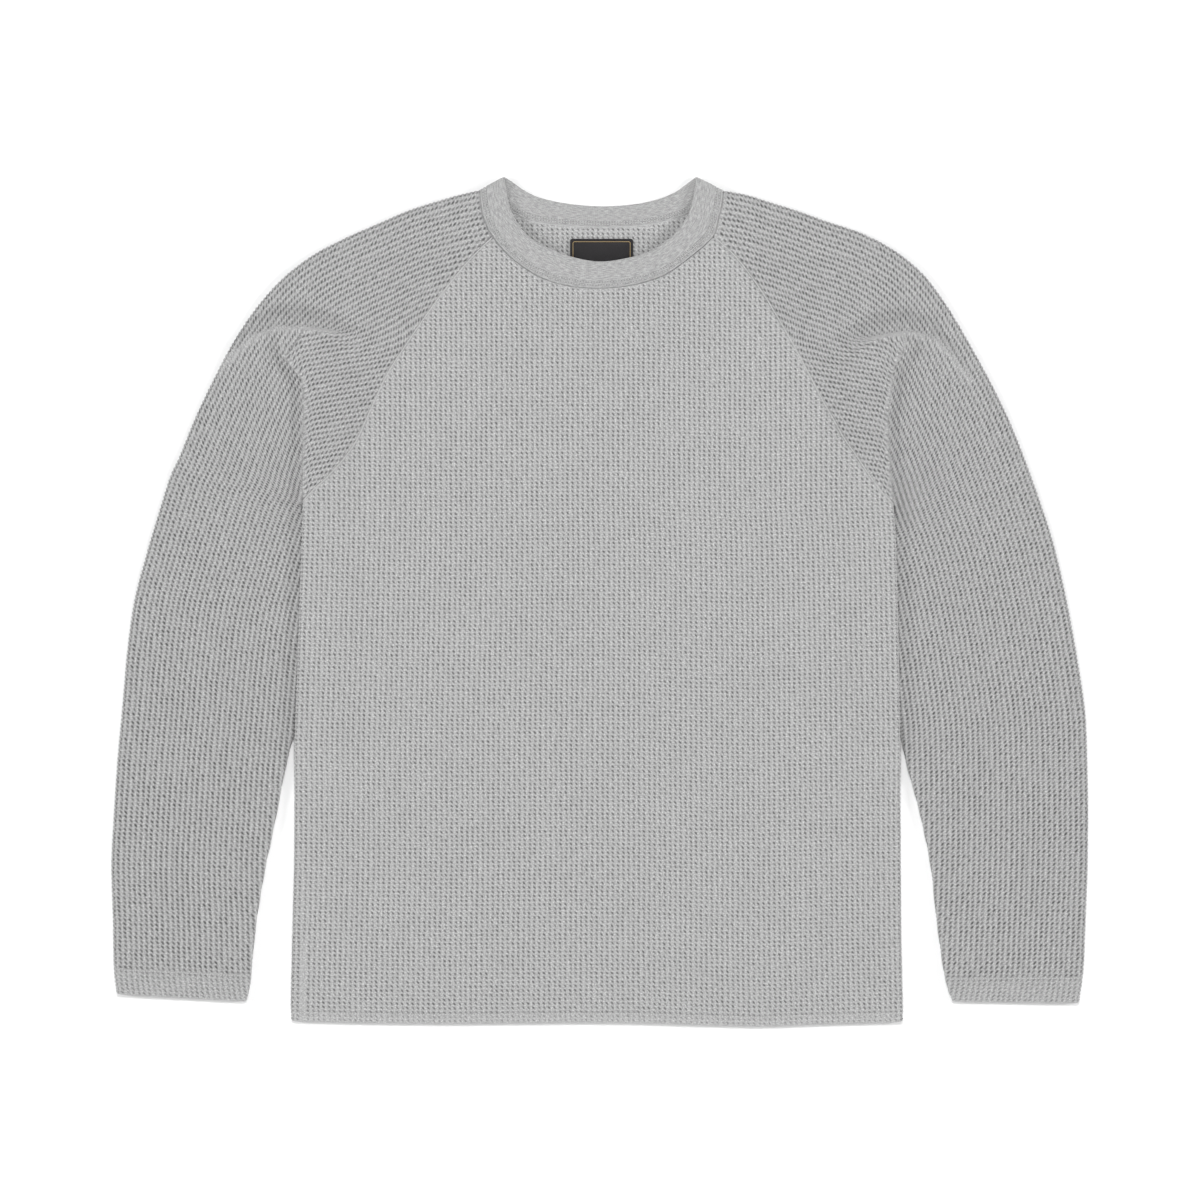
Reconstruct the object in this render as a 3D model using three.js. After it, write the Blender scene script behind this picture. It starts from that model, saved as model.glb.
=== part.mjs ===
// A long-sleeved raglan thermal top of waffle knit, laid out flat on its back.
// Millimetres, +Z up. +X runs towards the wearer's left sleeve and +Y towards the neck.
// The back panel and the sleeves' back halves lie on the surface z = 0, the front lies on them,
// and each sleeve's inner edge is tucked under the body's side, so it lifts the body there.
import * as THREE from "three";

// Driving sizes
const WALL = 1.8; // waffle knit cloth
const SEAM_GAP = 0.3; // between pieces that are sewn together
const FLAT_HEIGHT = 4.6; // two walls with a little air between them
const NECK_RISE = 1.0; // extra height of the front layer round the neck, over the label
const NECK_RISE_NEAR = 115; // full rise within this distance of the neck's middle
const NECK_RISE_FAR = 235; // and none beyond this one
const NECK_MIDDLE = { x: 1, y: 328 };
const EDGE_RADIUS = 4; // half width of the turn of cloth at a laid edge
const PILE = 5.3; // lift of what lies on a tucked sleeve
const PILE_FULL = 28; // full lift this far in from the edge
const PILE_END = 62; // and none beyond this
const PILE_Y = { start: -176, full: -118, hold: 206, end: 244 };
const LIP_OUT = 2.6; // the sleeve's step over its own fold starts this far outside the lip line
const LIP_IN = 3.6; // and ends this far inside it
const LIP_CLEAR = 16; // the close points stay this far from the outer edge
const HEM_DEPTH = 9;
const HEM_EXTRA = 0.4; // the turned hem is this much thicker
const CUFF_DEPTH = 23;
const CUFF_EXTRA = 0.5;
const BAND_WALL = 2.4; // doubled neckband
const BAND_RADIUS = 3.4; // turn of the band at the shoulder
const BAND_HEIGHT = 6.2; // top of the band over the surface, at its seam
const BAND_LIFT = 0.9; // the front band's free edge stands this much higher
const LABEL = { x: 1.8, top: 319, width: 55.5, height: 35, thickness: 1.0 };

// The body's side edges up to the underarm, and the lip of each armpit fold above it.
// left and right are X at the height y, in the view from above.
const EDGE_COLUMNS = ["y", "left", "right"];
const EDGE_ROWS = [
  [-374, -270.6, 266.6],
  [-355, -271.5, 266.6],
  [-300, -270.3, 265.3],
  [-228, -268.4, 264.8],
  [-122, -268.0, 264.4],
  [-40, -265.0, 263.0],
  [20, -263.0, 261.7],
  [60, -261.6, 260.4],
  [85, -261.0, 258.4],
  [116, -260.5, 255.2],
  [140, -260.0, 253.6],
  [160, -259.7, 253.0],
  [181, -259.4, 255.2],
  [195, -260.8, 256.4],
  [206, -270.4, 258.9],
  [216, -276.2, 264.0],
  [226, -280.3, 268.5],
  [240, -283.0, 272.0],
];

// The hem's lowest line: y at each x.
const HEM_COLUMNS = ["x", "y"];
const HEM_ROWS = [
  [-270, -369.0],
  [-200, -370.2],
  [-131, -371.0],
  [-16, -370.0],
  [34, -370.2],
  [90, -372.2],
  [137, -373.4],
  [190, -371.5],
  [251, -370.0],
  [267, -369.2],
];

// Sleeve sections from the cuff to the neck. outer is the laid outer edge, inner is the underarm edge
// up to the armpit and the front raglan seam above it, and lip is how far from inner the armpit fold
// lies, where the section's points are closest together.
const SECTION_COLUMNS = ["outerX", "outerY", "innerX", "innerY", "lip"];
const FIRST_OPEN = 12; // from this row on, the section is open at the raglan seams
const RIGHT_SECTIONS = [
  [-424.2, -345.4, -309.8, -351.6, 24],
  [-426.8, -324.3, -306.2, -330.4, 24],
  [-427.7, -280.3, -301.8, -284.7, 24],
  [-429.0, -231.9, -293.9, -236.3, 24],
  [-426.8, -187.9, -284.7, -192.3, 24],
  [-423.7, -139.5, -275.2, -143.9, 24],
  [-419.8, -97.2, -265.3, -106.0, 24],
  [-415.4, -47.1, -255.6, -62.0, 24],
  [-408.8, 1.3, -245.1, -18.0, 24],
  [-397.3, 45.3, -240.7, 21.6, 24],
  [-386.8, 80.5, -247.7, 54.1, 20],
  [-378.0, 108.7, -263.4, 75.2, 12],
  [-369.2, 128.0, -261.2, 85.6, 12],
  [-355.1, 162.4, -253.0, 96.4, 12],
  [-339.2, 195.8, -239.8, 108.7, 28],
  [-320.8, 230.1, -224.0, 126.3, 53],
  [-300.5, 260.0, -213.4, 142.1, 100],
  [-277.6, 285.1, -205.5, 159.7, 98],
  [-253.0, 304.0, -196.7, 179.1, 90],
  [-224.8, 319.0, -186.1, 201.1, 78],
  [-194.9, 332.2, -172.0, 223.1, 64],
  [-168.5, 343.6, -156.2, 246.4, 52],
  [-145.6, 351.1, -137.7, 271.9, 45],
  [-124.5, 357.3, -115.7, 298.8, 34],
  [-105.2, 362.1, -93.7, 320.8, 22],
];
const LEFT_SECTIONS = [
  [421.3, -353.1, 309.3, -351.6, 24],
  [425.2, -326.0, 302.7, -327.0, 24],
  [427.2, -282.0, 296.1, -281.0, 24],
  [429.0, -231.9, 290.8, -233.0, 24],
  [429.4, -183.5, 281.2, -186.0, 24],
  [428.6, -136.8, 268.8, -140.0, 24],
  [426.8, -97.2, 262.2, -106.0, 24],
  [420.2, -51.5, 251.7, -62.0, 24],
  [411.0, -0.4, 242.4, -18.0, 24],
  [399.5, 49.7, 238.0, 21.6, 24],
  [388.1, 85.8, 245.1, 53.2, 20],
  [378.8, 112.2, 262.0, 72.6, 12],
  [370.9, 133.3, 258.6, 83.6, 12],
  [357.7, 165.0, 248.6, 95.5, 12],
  [341.9, 196.7, 237.2, 110.9, 23],
  [323.4, 230.1, 224.8, 129.4, 40],
  [304.9, 260.9, 214.7, 143.9, 68],
  [283.8, 288.6, 205.5, 160.6, 94],
  [258.3, 309.3, 195.8, 177.8, 90],
  [229.2, 324.3, 185.2, 198.4, 78],
  [199.3, 334.4, 172.5, 222.2, 64],
  [173.8, 343.6, 158.8, 246.4, 52],
  [150.0, 351.1, 141.7, 274.1, 45],
  [128.9, 357.7, 121.0, 301.8, 34],
  [108.7, 361.7, 99.9, 321.2, 22],
];
const SPLIT_SECTIONS = { from: 12, to: 18 }; // one more section halfway in each of these spans

// The crest of the fold over each armpit: how high it stands, and how far it falls away on its
// upper side (towards the neck's height) and on its lower side.
const CREST_COLUMNS = ["x", "y", "rise", "above", "below"];
const RIGHT_CREST = [
  [-340, 194, 0.3, 8, 8],
  [-318, 219, 2.0, 8, 9],
  [-300, 233, 4.5, 7, 9],
  [-281, 238, 6.8, 6, 9],
  [-258, 236, 6.2, 7, 22],
  [-235, 232, 3.4, 10, 24],
  [-200, 226, 0.6, 14, 20],
];
const LEFT_CREST = [
  [325, 192, 0.3, 8, 8],
  [306, 216, 2.0, 8, 9],
  [293, 228, 4.5, 7, 9],
  [277, 234, 6.8, 6, 10],
  [256, 231, 6.2, 7, 22],
  [235, 227, 3.4, 10, 24],
  [203, 222, 0.6, 14, 20],
];

// The neckband across its width, from the wearer's right shoulder round the front to the left one:
// seam is where it is sewn on, free is its other edge.
const BAND_COLUMNS = ["seamX", "seamY", "freeX", "freeY"];
const FRONT_BAND = [
  [-105.2, 362.1, -84.0, 373.6],
  [-104.3, 351.0, -82.0, 362.0],
  [-102.0, 338.0, -79.5, 349.5],
  [-93.7, 320.8, -73.7, 334.8],
  [-77.5, 302.3, -61.5, 320.5],
  [-52.0, 285.0, -42.0, 309.3],
  [-24.0, 276.8, -20.0, 301.8],
  [3.0, 275.4, 1.0, 298.8],
  [30.4, 278.5, 22.4, 301.5],
  [57.2, 287.1, 43.5, 307.5],
  [80.0, 303.0, 62.5, 320.0],
  [99.9, 321.2, 75.5, 335.5],
  [105.2, 339.5, 81.0, 349.5],
  [108.0, 351.0, 83.2, 361.5],
  [108.7, 361.7, 84.9, 373.6],
];
const FRONT_CORNERS = [3, 11]; // rows where the raglan seams meet the front band
const BACK_BAND = [
  [-105.2, 362.1, -84.0, 373.6],
  [-95.0, 354.5, -77.0, 369.3],
  [-84.0, 346.5, -68.0, 362.8],
  [-73.0, 340.2, -58.0, 357.3],
  [-60.3, 334.8, -47.0, 353.7],
  [-34.8, 331.3, -28.0, 350.0],
  [0.4, 329.6, 0.4, 347.6],
  [35.6, 330.9, 29.0, 349.3],
  [58.1, 334.8, 45.5, 352.3],
  [74.9, 339.9, 58.0, 356.2],
  [85.0, 345.5, 68.0, 361.0],
  [97.0, 353.3, 77.5, 368.0],
  [108.7, 361.7, 84.9, 373.6],
];
const BACK_CORNERS = [2, 10];
// Places across the band, from seam to free edge, and how much its rounded edge thins there.
const BAND_ACROSS = [
  { at: 0, thin: 0 },
  { at: 0.4, thin: 0 },
  { at: 0.82, thin: 0 },
  { at: 0.96, thin: 0.2 },
  { at: 1, thin: 0.6 },
];
const LEAST_GAP = 0.4; // between the layers inside a turned edge
const BACK_RISE = { x: 9.7, y: 25.7 }; // the back raglan seam ends this much higher at the neck

const clamp = THREE.MathUtils.clamp;
const lerp = THREE.MathUtils.lerp;

function smooth(from, to, value) {
  const t = clamp((value - from) / (to - from), 0, 1);
  return t * t * (3 - 2 * t);
}

function named(columns, rows) {
  return rows.map((row) => Object.fromEntries(columns.map((name, i) => [name, row[i]])));
}

const EDGES = named(EDGE_COLUMNS, EDGE_ROWS);
const HEM = named(HEM_COLUMNS, HEM_ROWS);

// Straight interpolation of one column of a table by another that rises from row to row.
function lookUp(table, key, column, value) {
  const last = table.length - 1;
  if (value <= table[0][key]) {
    return table[0][column];
  }
  for (let i = 0; i < last; i += 1) {
    const [a, b] = [table[i], table[i + 1]];
    if (value <= b[key]) {
      return lerp(a[column], b[column], (value - a[key]) / (b[key] - a[key]));
    }
  }
  return table[last][column];
}

// A smooth curve through one column of a table, at a row position such as 3.5.
function curve(table, column, position) {
  const last = table.length - 1;
  const i = clamp(Math.floor(position), 0, last - 1);
  const t = position - i;
  const value = (row) => table[clamp(row, 0, last)][column];
  const [p0, p1, p2, p3] = [value(i - 1), value(i), value(i + 1), value(i + 2)];
  const slope1 = (p2 - p0) / 2;
  const slope2 = (p3 - p1) / 2;
  const t2 = t * t;
  const t3 = t2 * t;
  const ends = p1 * (2 * t3 - 3 * t2 + 1) + p2 * (3 * t2 - 2 * t3);
  return ends + slope1 * (t3 - 2 * t2 + t) + slope2 * (t3 - t2);
}

// Each side of the garment, with what its pieces are made from.
function makeSide(sign, edgeColumn, sections, crest) {
  return {
    sign,
    edgeColumn,
    sections: named(SECTION_COLUMNS, sections),
    crest: named(CREST_COLUMNS, crest),
  };
}
const RIGHT = makeSide(-1, "left", RIGHT_SECTIONS, RIGHT_CREST);
const LEFT = makeSide(1, "right", LEFT_SECTIONS, LEFT_CREST);
const sideOf = (x) => (x < 0 ? RIGHT : LEFT);

const edgeX = (side, y) => lookUp(EDGES, "y", side.edgeColumn, y);
const insideBy = (side, x, y) => side.sign * (edgeX(side, y) - x);

// Lift of the body and of the sleeve's upper flap over the tucked part of the sleeve.
function pile(x, y) {
  const side = sideOf(x);
  const alongEdge = smooth(PILE_Y.start, PILE_Y.full, y) * (1 - smooth(PILE_Y.hold, PILE_Y.end, y));
  const inward = 1 - smooth(PILE_FULL, PILE_END, insideBy(side, x, y));
  return PILE * alongEdge * inward;
}

// Height of the fold over the armpit, from the nearest point of its crest.
function crestRise(side, x, y) {
  let best = { distance: Infinity };
  for (let i = 0; i < side.crest.length - 1; i += 1) {
    const [a, b] = [side.crest[i], side.crest[i + 1]];
    const [dx, dy] = [b.x - a.x, b.y - a.y];
    const t = clamp(((x - a.x) * dx + (y - a.y) * dy) / (dx * dx + dy * dy), 0, 1);
    const [px, py] = [lerp(a.x, b.x, t), lerp(a.y, b.y, t)];
    const distance = Math.hypot(x - px, y - py);
    if (distance < best.distance) {
      const rise = lerp(a.rise, b.rise, t);
      const width = y > py ? lerp(a.above, b.above, t) : lerp(a.below, b.below, t);
      best = { distance, rise, width };
    }
  }
  return best.rise * Math.exp(-((best.distance / best.width) ** 2));
}

function flatTop(x, y) {
  const away = Math.hypot(x - NECK_MIDDLE.x, y - NECK_MIDDLE.y);
  return FLAT_HEIGHT + NECK_RISE * (1 - smooth(NECK_RISE_NEAR, NECK_RISE_FAR, away));
}

const hemY = (x) => lookUp(HEM, "x", "y", x);
const hemExtra = (x, y) => HEM_EXTRA * (1 - smooth(HEM_DEPTH - 0.5, HEM_DEPTH + 0.5, y - hemY(x)));

const bodyTop = (x, y) => flatTop(x, y) + pile(x, y) + crestRise(sideOf(x), x, y);
const bodyBottom = (x, y) => pile(x, y);

// A sleeve's layers: tucked sections stay low, and open ones step up over the armpit fold.
function sleeveTop(side, x, y, open) {
  if (!open) {
    return flatTop(x, y);
  }
  const step = smooth(-LIP_OUT, LIP_IN, insideBy(side, x, y));
  return flatTop(x, y) + pile(x, y) * step + crestRise(side, x, y);
}
function sleeveBottom(side, x, y, open) {
  return open ? pile(x, y) * smooth(0, 10, insideBy(side, x, y)) : 0;
}

// A closed wall between two matching grids of points. Outer is the face that looks out.
// sideRims(i) says whether span i of rows is closed along its two sides, and loop joins the
// last row to the first.
function shell(outer, inner, { flip = false, loop = false, sideRims = () => true } = {}) {
  const rows = outer.length;
  const columns = outer[0].length;
  const positions = [];
  for (const grid of [outer, inner]) {
    for (const row of grid) {
      for (const point of row) {
        positions.push(...point);
      }
    }
  }
  const outerAt = (i, j) => (i % rows) * columns + j;
  const innerAt = (i, j) => rows * columns + outerAt(i, j);
  const index = [];
  const quad = (a, b, c, d) => {
    index.push(...(flip ? [a, d, c, a, c, b] : [a, b, c, a, c, d]));
  };
  const spans = loop ? rows : rows - 1;
  for (let i = 0; i < spans; i += 1) {
    for (let j = 0; j < columns - 1; j += 1) {
      quad(outerAt(i, j), outerAt(i, j + 1), outerAt(i + 1, j + 1), outerAt(i + 1, j));
      quad(innerAt(i, j), innerAt(i + 1, j), innerAt(i + 1, j + 1), innerAt(i, j + 1));
    }
    if (sideRims(i)) {
      const end = columns - 1;
      quad(outerAt(i, 0), outerAt(i + 1, 0), innerAt(i + 1, 0), innerAt(i, 0));
      quad(outerAt(i + 1, end), outerAt(i, end), innerAt(i, end), innerAt(i + 1, end));
    }
  }
  if (!loop) {
    for (let j = 0; j < columns - 1; j += 1) {
      const last = rows - 1;
      quad(outerAt(0, j + 1), outerAt(0, j), innerAt(0, j), innerAt(0, j + 1));
      quad(outerAt(last, j), outerAt(last, j + 1), innerAt(last, j + 1), innerAt(last, j));
    }
  }
  const geometry = new THREE.BufferGeometry();
  geometry.setAttribute("position", new THREE.Float32BufferAttribute(positions, 3));
  geometry.setIndex(index);
  geometry.computeVertexNormals();
  return geometry;
}

// A path shifted sideways, to the right of its direction of travel where distance is positive.
function shiftPath(path, distance) {
  const last = path.length - 1;
  return path.map((point, i) => {
    const a = path[Math.max(i - 1, 0)];
    const b = path[Math.min(i + 1, last)];
    const length = Math.hypot(b[0] - a[0], b[1] - a[1]);
    const shift = distance / length;
    return [point[0] + (b[1] - a[1]) * shift, point[1] - (b[0] - a[0]) * shift];
  });
}

// The neck seam of the front or back band between two row positions, moved out from the band by the
// seam gap. Positions rise from the wearer's right shoulder to the left one.
function neckPath(table, from, to, steps) {
  const path = [];
  for (let i = 0; i <= steps; i += 1) {
    const position = lerp(from, to, i / steps);
    path.push([curve(table, "seamX", position), curve(table, "seamY", position)]);
  }
  return shiftPath(path, SEAM_GAP);
}
const FRONT_BAND_ROWS = named(BAND_COLUMNS, FRONT_BAND);
const BACK_BAND_ROWS = named(BAND_COLUMNS, BACK_BAND);

// The sleeve's piece of the neck seam, from its corner with the raglan seam to the shoulder, where it
// clears both layers of the band.
function shoulderPath(side, table, corners) {
  const last = table.length - 1;
  const steps = 8;
  const right = side.sign < 0;
  const fold = right ? table[0] : table[last];
  const [dx, dy] = [fold.seamX - fold.freeX, fold.seamY - fold.freeY];
  const off = (1.5 * SEAM_GAP) / Math.hypot(dx, dy);
  const path = right
    ? neckPath(table, 0, corners[0], steps).reverse()
    : neckPath(table, corners[1], last, steps);
  path[path.length - 1] = [fold.seamX + dx * off, fold.seamY + dy * off];
  return path;
}

// A point of a path by how far along its chord it lies.
function alongChord(path, share) {
  const start = path[0];
  const end = path[path.length - 1];
  const chord = [end[0] - start[0], end[1] - start[1]];
  const square = chord[0] ** 2 + chord[1] ** 2;
  const shareOf = (p) => ((p[0] - start[0]) * chord[0] + (p[1] - start[1]) * chord[1]) / square;
  for (let i = 0; i < path.length - 1; i += 1) {
    const [a, b] = [path[i], path[i + 1]];
    if (share <= shareOf(b) || i === path.length - 2) {
      const t = (share - shareOf(a)) / (shareOf(b) - shareOf(a));
      return [lerp(a[0], b[0], t), lerp(a[1], b[1], t)];
    }
  }
  return end;
}

// All sections of one sleeve with their outer point, front and back inner points and neck bow.
function sleeveStations(side) {
  const rows = side.sections;
  const last = rows.length - 1;
  const frontPath = shoulderPath(side, FRONT_BAND_ROWS, FRONT_CORNERS);
  const backPath = shoulderPath(side, BACK_BAND_ROWS, BACK_CORNERS);
  const positions = rows.map((_, i) => i);
  for (let i = SPLIT_SECTIONS.from; i < SPLIT_SECTIONS.to; i += 1) {
    positions.push(i + 0.5);
  }
  positions.sort((a, b) => a - b);
  return positions.map((position) => {
    const low = Math.floor(position);
    const high = Math.min(low + 1, last);
    const straight = (column) => lerp(rows[low][column], rows[high][column], position - low);
    const up = clamp((position - FIRST_OPEN) / (last - FIRST_OPEN), 0, 1) ** 2;
    const station = {
      position,
      open: position >= FIRST_OPEN,
      outer: [curve(rows, "outerX", position), curve(rows, "outerY", position)],
      front: [straight("innerX"), straight("innerY")],
      lip: straight("lip"),
      bow: [0.2, 0.5, 1][position - (last - 2)] ?? 0,
      frontPath,
      backPath,
    };
    station.back = [
      station.front[0] - side.sign * BACK_RISE.x * up,
      station.front[1] + BACK_RISE.y * up,
    ];
    if (position === last) {
      station.front = frontPath[0];
      station.back = backPath[0];
      station.outer = frontPath[frontPath.length - 1];
    }
    return station;
  });
}

// A point of a section in the view from above, by its distance from the inner end.
function sectionPlan(station, layer, distance) {
  const from = layer === "front" ? station.front : station.back;
  const width = Math.hypot(station.outer[0] - from[0], station.outer[1] - from[1]);
  const share = distance / width;
  const point = [lerp(from[0], station.outer[0], share), lerp(from[1], station.outer[1], share)];
  if (station.bow > 0) {
    const path = layer === "front" ? station.frontPath : station.backPath;
    const seam = alongChord(path, share);
    const end = path[path.length - 1];
    const chord = [lerp(path[0][0], end[0], share), lerp(path[0][1], end[1], share)];
    point[0] += station.bow * (seam[0] - chord[0]);
    point[1] += station.bow * (seam[1] - chord[1]);
  }
  return point;
}

// The places of a section's points, from the front seam over the outer edge to the back seam.
// turn is the angle round a laid edge: 0 where the layer is flat and a quarter turn at the edge.
function sectionPlaces(station) {
  const widthOf = (from) => Math.hypot(station.outer[0] - from[0], station.outer[1] - from[1]);
  const fill = (from, to, count) => {
    return Array.from({ length: count }, (_, i) => lerp(from, to, (i + 1) / (count + 1)));
  };
  const quarter = Math.PI / 2;
  const front = widthOf(station.front);
  const back = widthOf(station.back);
  const frontLip = Math.min(station.lip, front - LIP_CLEAR);
  const backLip = Math.min(station.lip, back - LIP_CLEAR);
  const near = EDGE_RADIUS;
  const flat = (layer, distances) => distances.map((distance) => ({ layer, distance, turn: 0 }));
  const outerTurn = (layer, turns) => turns.map((turn) => ({ layer, end: "outer", turn }));
  const innerTurn = (layer, turns) => turns.map((turn) => ({ layer, end: "inner", turn }));
  return [
    ...innerTurn("front", [quarter, quarter / 2]),
    ...flat("front", [near, ...fill(near, frontLip - 4, 2)]),
    ...flat("front", [frontLip - 4, frontLip - 1.5, frontLip + 0.5, frontLip + 2.5]),
    ...flat("front", fill(frontLip + 2.5, front - near, 4)),
    ...outerTurn("front", [0, quarter / 3, (2 * quarter) / 3, quarter]),
    ...outerTurn("back", [quarter / 2, 0]),
    ...flat("back", fill(back - near, backLip, 4)),
    ...flat("back", [backLip, Math.max(backLip - 9, near + 1), near]),
    ...innerTurn("back", [quarter / 2, quarter]),
  ];
}

// Extra thickness of the turned cuff at a section.
function cuffExtra(side, station) {
  const rows = side.sections;
  const fromCuff = Math.hypot(
    station.outer[0] - rows[0].outerX,
    station.outer[1] - rows[0].outerY,
  );
  return CUFF_EXTRA * (1 - smooth(CUFF_DEPTH - 2, CUFF_DEPTH + 2, fromCuff));
}

function sectionPoint(side, station, place, wall) {
  const layer = place.layer;
  const from = layer === "front" ? station.front : station.back;
  const width = Math.hypot(station.outer[0] - from[0], station.outer[1] - from[1]);
  const reach = EDGE_RADIUS - (EDGE_RADIUS - wall) * Math.sin(place.turn);
  let distance = place.distance;
  let turn = place.turn;
  if (place.end === "outer") {
    distance = width - reach;
  } else if (place.end === "inner") {
    distance = reach;
    if (station.open) {
      distance = EDGE_RADIUS * (1 - Math.sin(place.turn));
      turn = 0;
    }
  }
  const [x, y] = sectionPlan(station, layer, distance);
  const bottom = sleeveBottom(side, x, y, station.open);
  const thick = cuffExtra(side, station);
  const top = sleeveTop(side, x, y, station.open) + thick;
  const middle = (top + bottom) / 2;
  const inset = wall > 0 ? wall + thick : 0;
  const outward = layer === "front" ? 1 : -1;
  const height = Math.max((top - bottom) / 2 - inset, LEAST_GAP / 2);
  return [x, y, middle + outward * height * Math.cos(turn)];
}

function sleeveGeometry(side) {
  const stations = sleeveStations(side);
  const grid = (wall) => {
    return stations.map((station) => {
      return sectionPlaces(station).map((place) => sectionPoint(side, station, place, wall));
    });
  };
  return shell(grid(0), grid(WALL), {
    flip: side.sign < 0,
    sideRims: (i) => stations[i + 1].open,
  });
}

// The upper edge of a body panel on one side: the raglan seam from the underarm to the neck, moved
// off the sleeve by the seam gap.
function raglanPath(side, layer) {
  const stations = sleeveStations(side).filter((s) => s.open && Number.isInteger(s.position));
  const path = stations.map((s) => (layer === "front" ? s.front : s.back));
  return shiftPath(path, side.sign < 0 ? SEAM_GAP : -SEAM_GAP);
}

// Columns of a body panel from one side edge to the other. Each has its top point, and near the
// side edges the turn of the cloth there.
function panelColumns(layer) {
  const right = raglanPath(RIGHT, layer);
  const left = raglanPath(LEFT, layer).reverse();
  const table = layer === "front" ? FRONT_BAND_ROWS : BACK_BAND_ROWS;
  const corners = layer === "front" ? FRONT_CORNERS : BACK_CORNERS;
  const steps = 2 * (corners[1] - corners[0]);
  const neck = neckPath(table, corners[0], corners[1], steps).slice(1, -1);
  const path = [...right, ...neck, ...left];
  const quarter = Math.PI / 2;
  const turned = (side) => [quarter, quarter / 2, 0].map((turn) => ({ side, turn }));
  const plain = path.slice(1, -1).map((top) => ({ top }));
  return { path, columns: [...turned(RIGHT), ...plain, ...turned(LEFT).reverse()] };
}

const PANEL_LEVELS = [-320, -262, -214, -182, -164, -146, -128, -108, -50, 8, 52];
const PANEL_SHARES = [0.25, 0.5, 0.75, 1]; // of the way from the last level to the top edge
const HEM_LEVELS = [0, HEM_DEPTH - 0.6, HEM_DEPTH + 0.6];

// Height of a panel's upper edge at x.
function topOfPath(path, x) {
  for (let i = 0; i < path.length - 1; i += 1) {
    const [a, b] = [path[i], path[i + 1]];
    if (x <= b[0]) {
      return lerp(a[1], b[1], (x - a[0]) / (b[0] - a[0]));
    }
  }
  return path[path.length - 1][1];
}

function panelGeometry(layer) {
  const { path, columns } = panelColumns(layer);
  const armpits = [path[0], path[path.length - 1]];
  const underarm = Math.min(armpits[0][1], armpits[1][1]);
  // X of a column at a height: it keeps its share of the panel's width down to the hem.
  const columnX = (column, y, wall) => {
    const level = Math.min(y, underarm);
    if (column.side) {
      const reach = EDGE_RADIUS - (EDGE_RADIUS - wall) * Math.sin(column.turn);
      const top = column.side.sign < 0 ? armpits[0][0] : armpits[1][0];
      const shift = top - edgeX(column.side, underarm);
      return edgeX(column.side, level) + shift - column.side.sign * reach;
    }
    const share = (column.top[0] - armpits[0][0]) / (armpits[1][0] - armpits[0][0]);
    const low = edgeX(RIGHT, level) + armpits[0][0] - edgeX(RIGHT, underarm);
    const high = edgeX(LEFT, level) + armpits[1][0] - edgeX(LEFT, underarm);
    return lerp(low, high, share);
  };
  const point = (column, place, wall) => {
    const roughX = columnX(column, underarm, wall);
    const topY = column.top ? column.top[1] : topOfPath(path, roughX);
    const lastLevel = PANEL_LEVELS[PANEL_LEVELS.length - 1];
    let y = place.level ?? lerp(lastLevel, topY, place.share);
    if (place.hem !== undefined) {
      y = hemY(roughX) + place.hem;
    }
    const x = columnX(column, y, wall);
    const thick = hemExtra(x, y);
    const [top, bottom] = [bodyTop(x, y), bodyBottom(x, y)];
    const middle = (top + bottom) / 2;
    const outward = layer === "front" ? 1 : -1;
    const seam = middle + (outward * SEAM_GAP) / 2;
    const turn = column.turn ?? 0;
    const face = layer === "front" ? top + (wall > 0 ? 0 : thick) : bottom;
    const inset = wall > 0 ? wall + (layer === "back" ? thick : 0) : 0;
    return [x, y, seam + (face - outward * inset - seam) * Math.cos(turn)];
  };
  const places = [
    ...HEM_LEVELS.map((hem) => ({ hem })),
    ...PANEL_LEVELS.map((level) => ({ level })),
    ...PANEL_SHARES.map((share) => ({ share })),
  ];
  const grid = (wall) => places.map((place) => columns.map((c) => point(c, place, wall)));
  return shell(grid(0), grid(WALL), { flip: layer === "back" });
}

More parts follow.
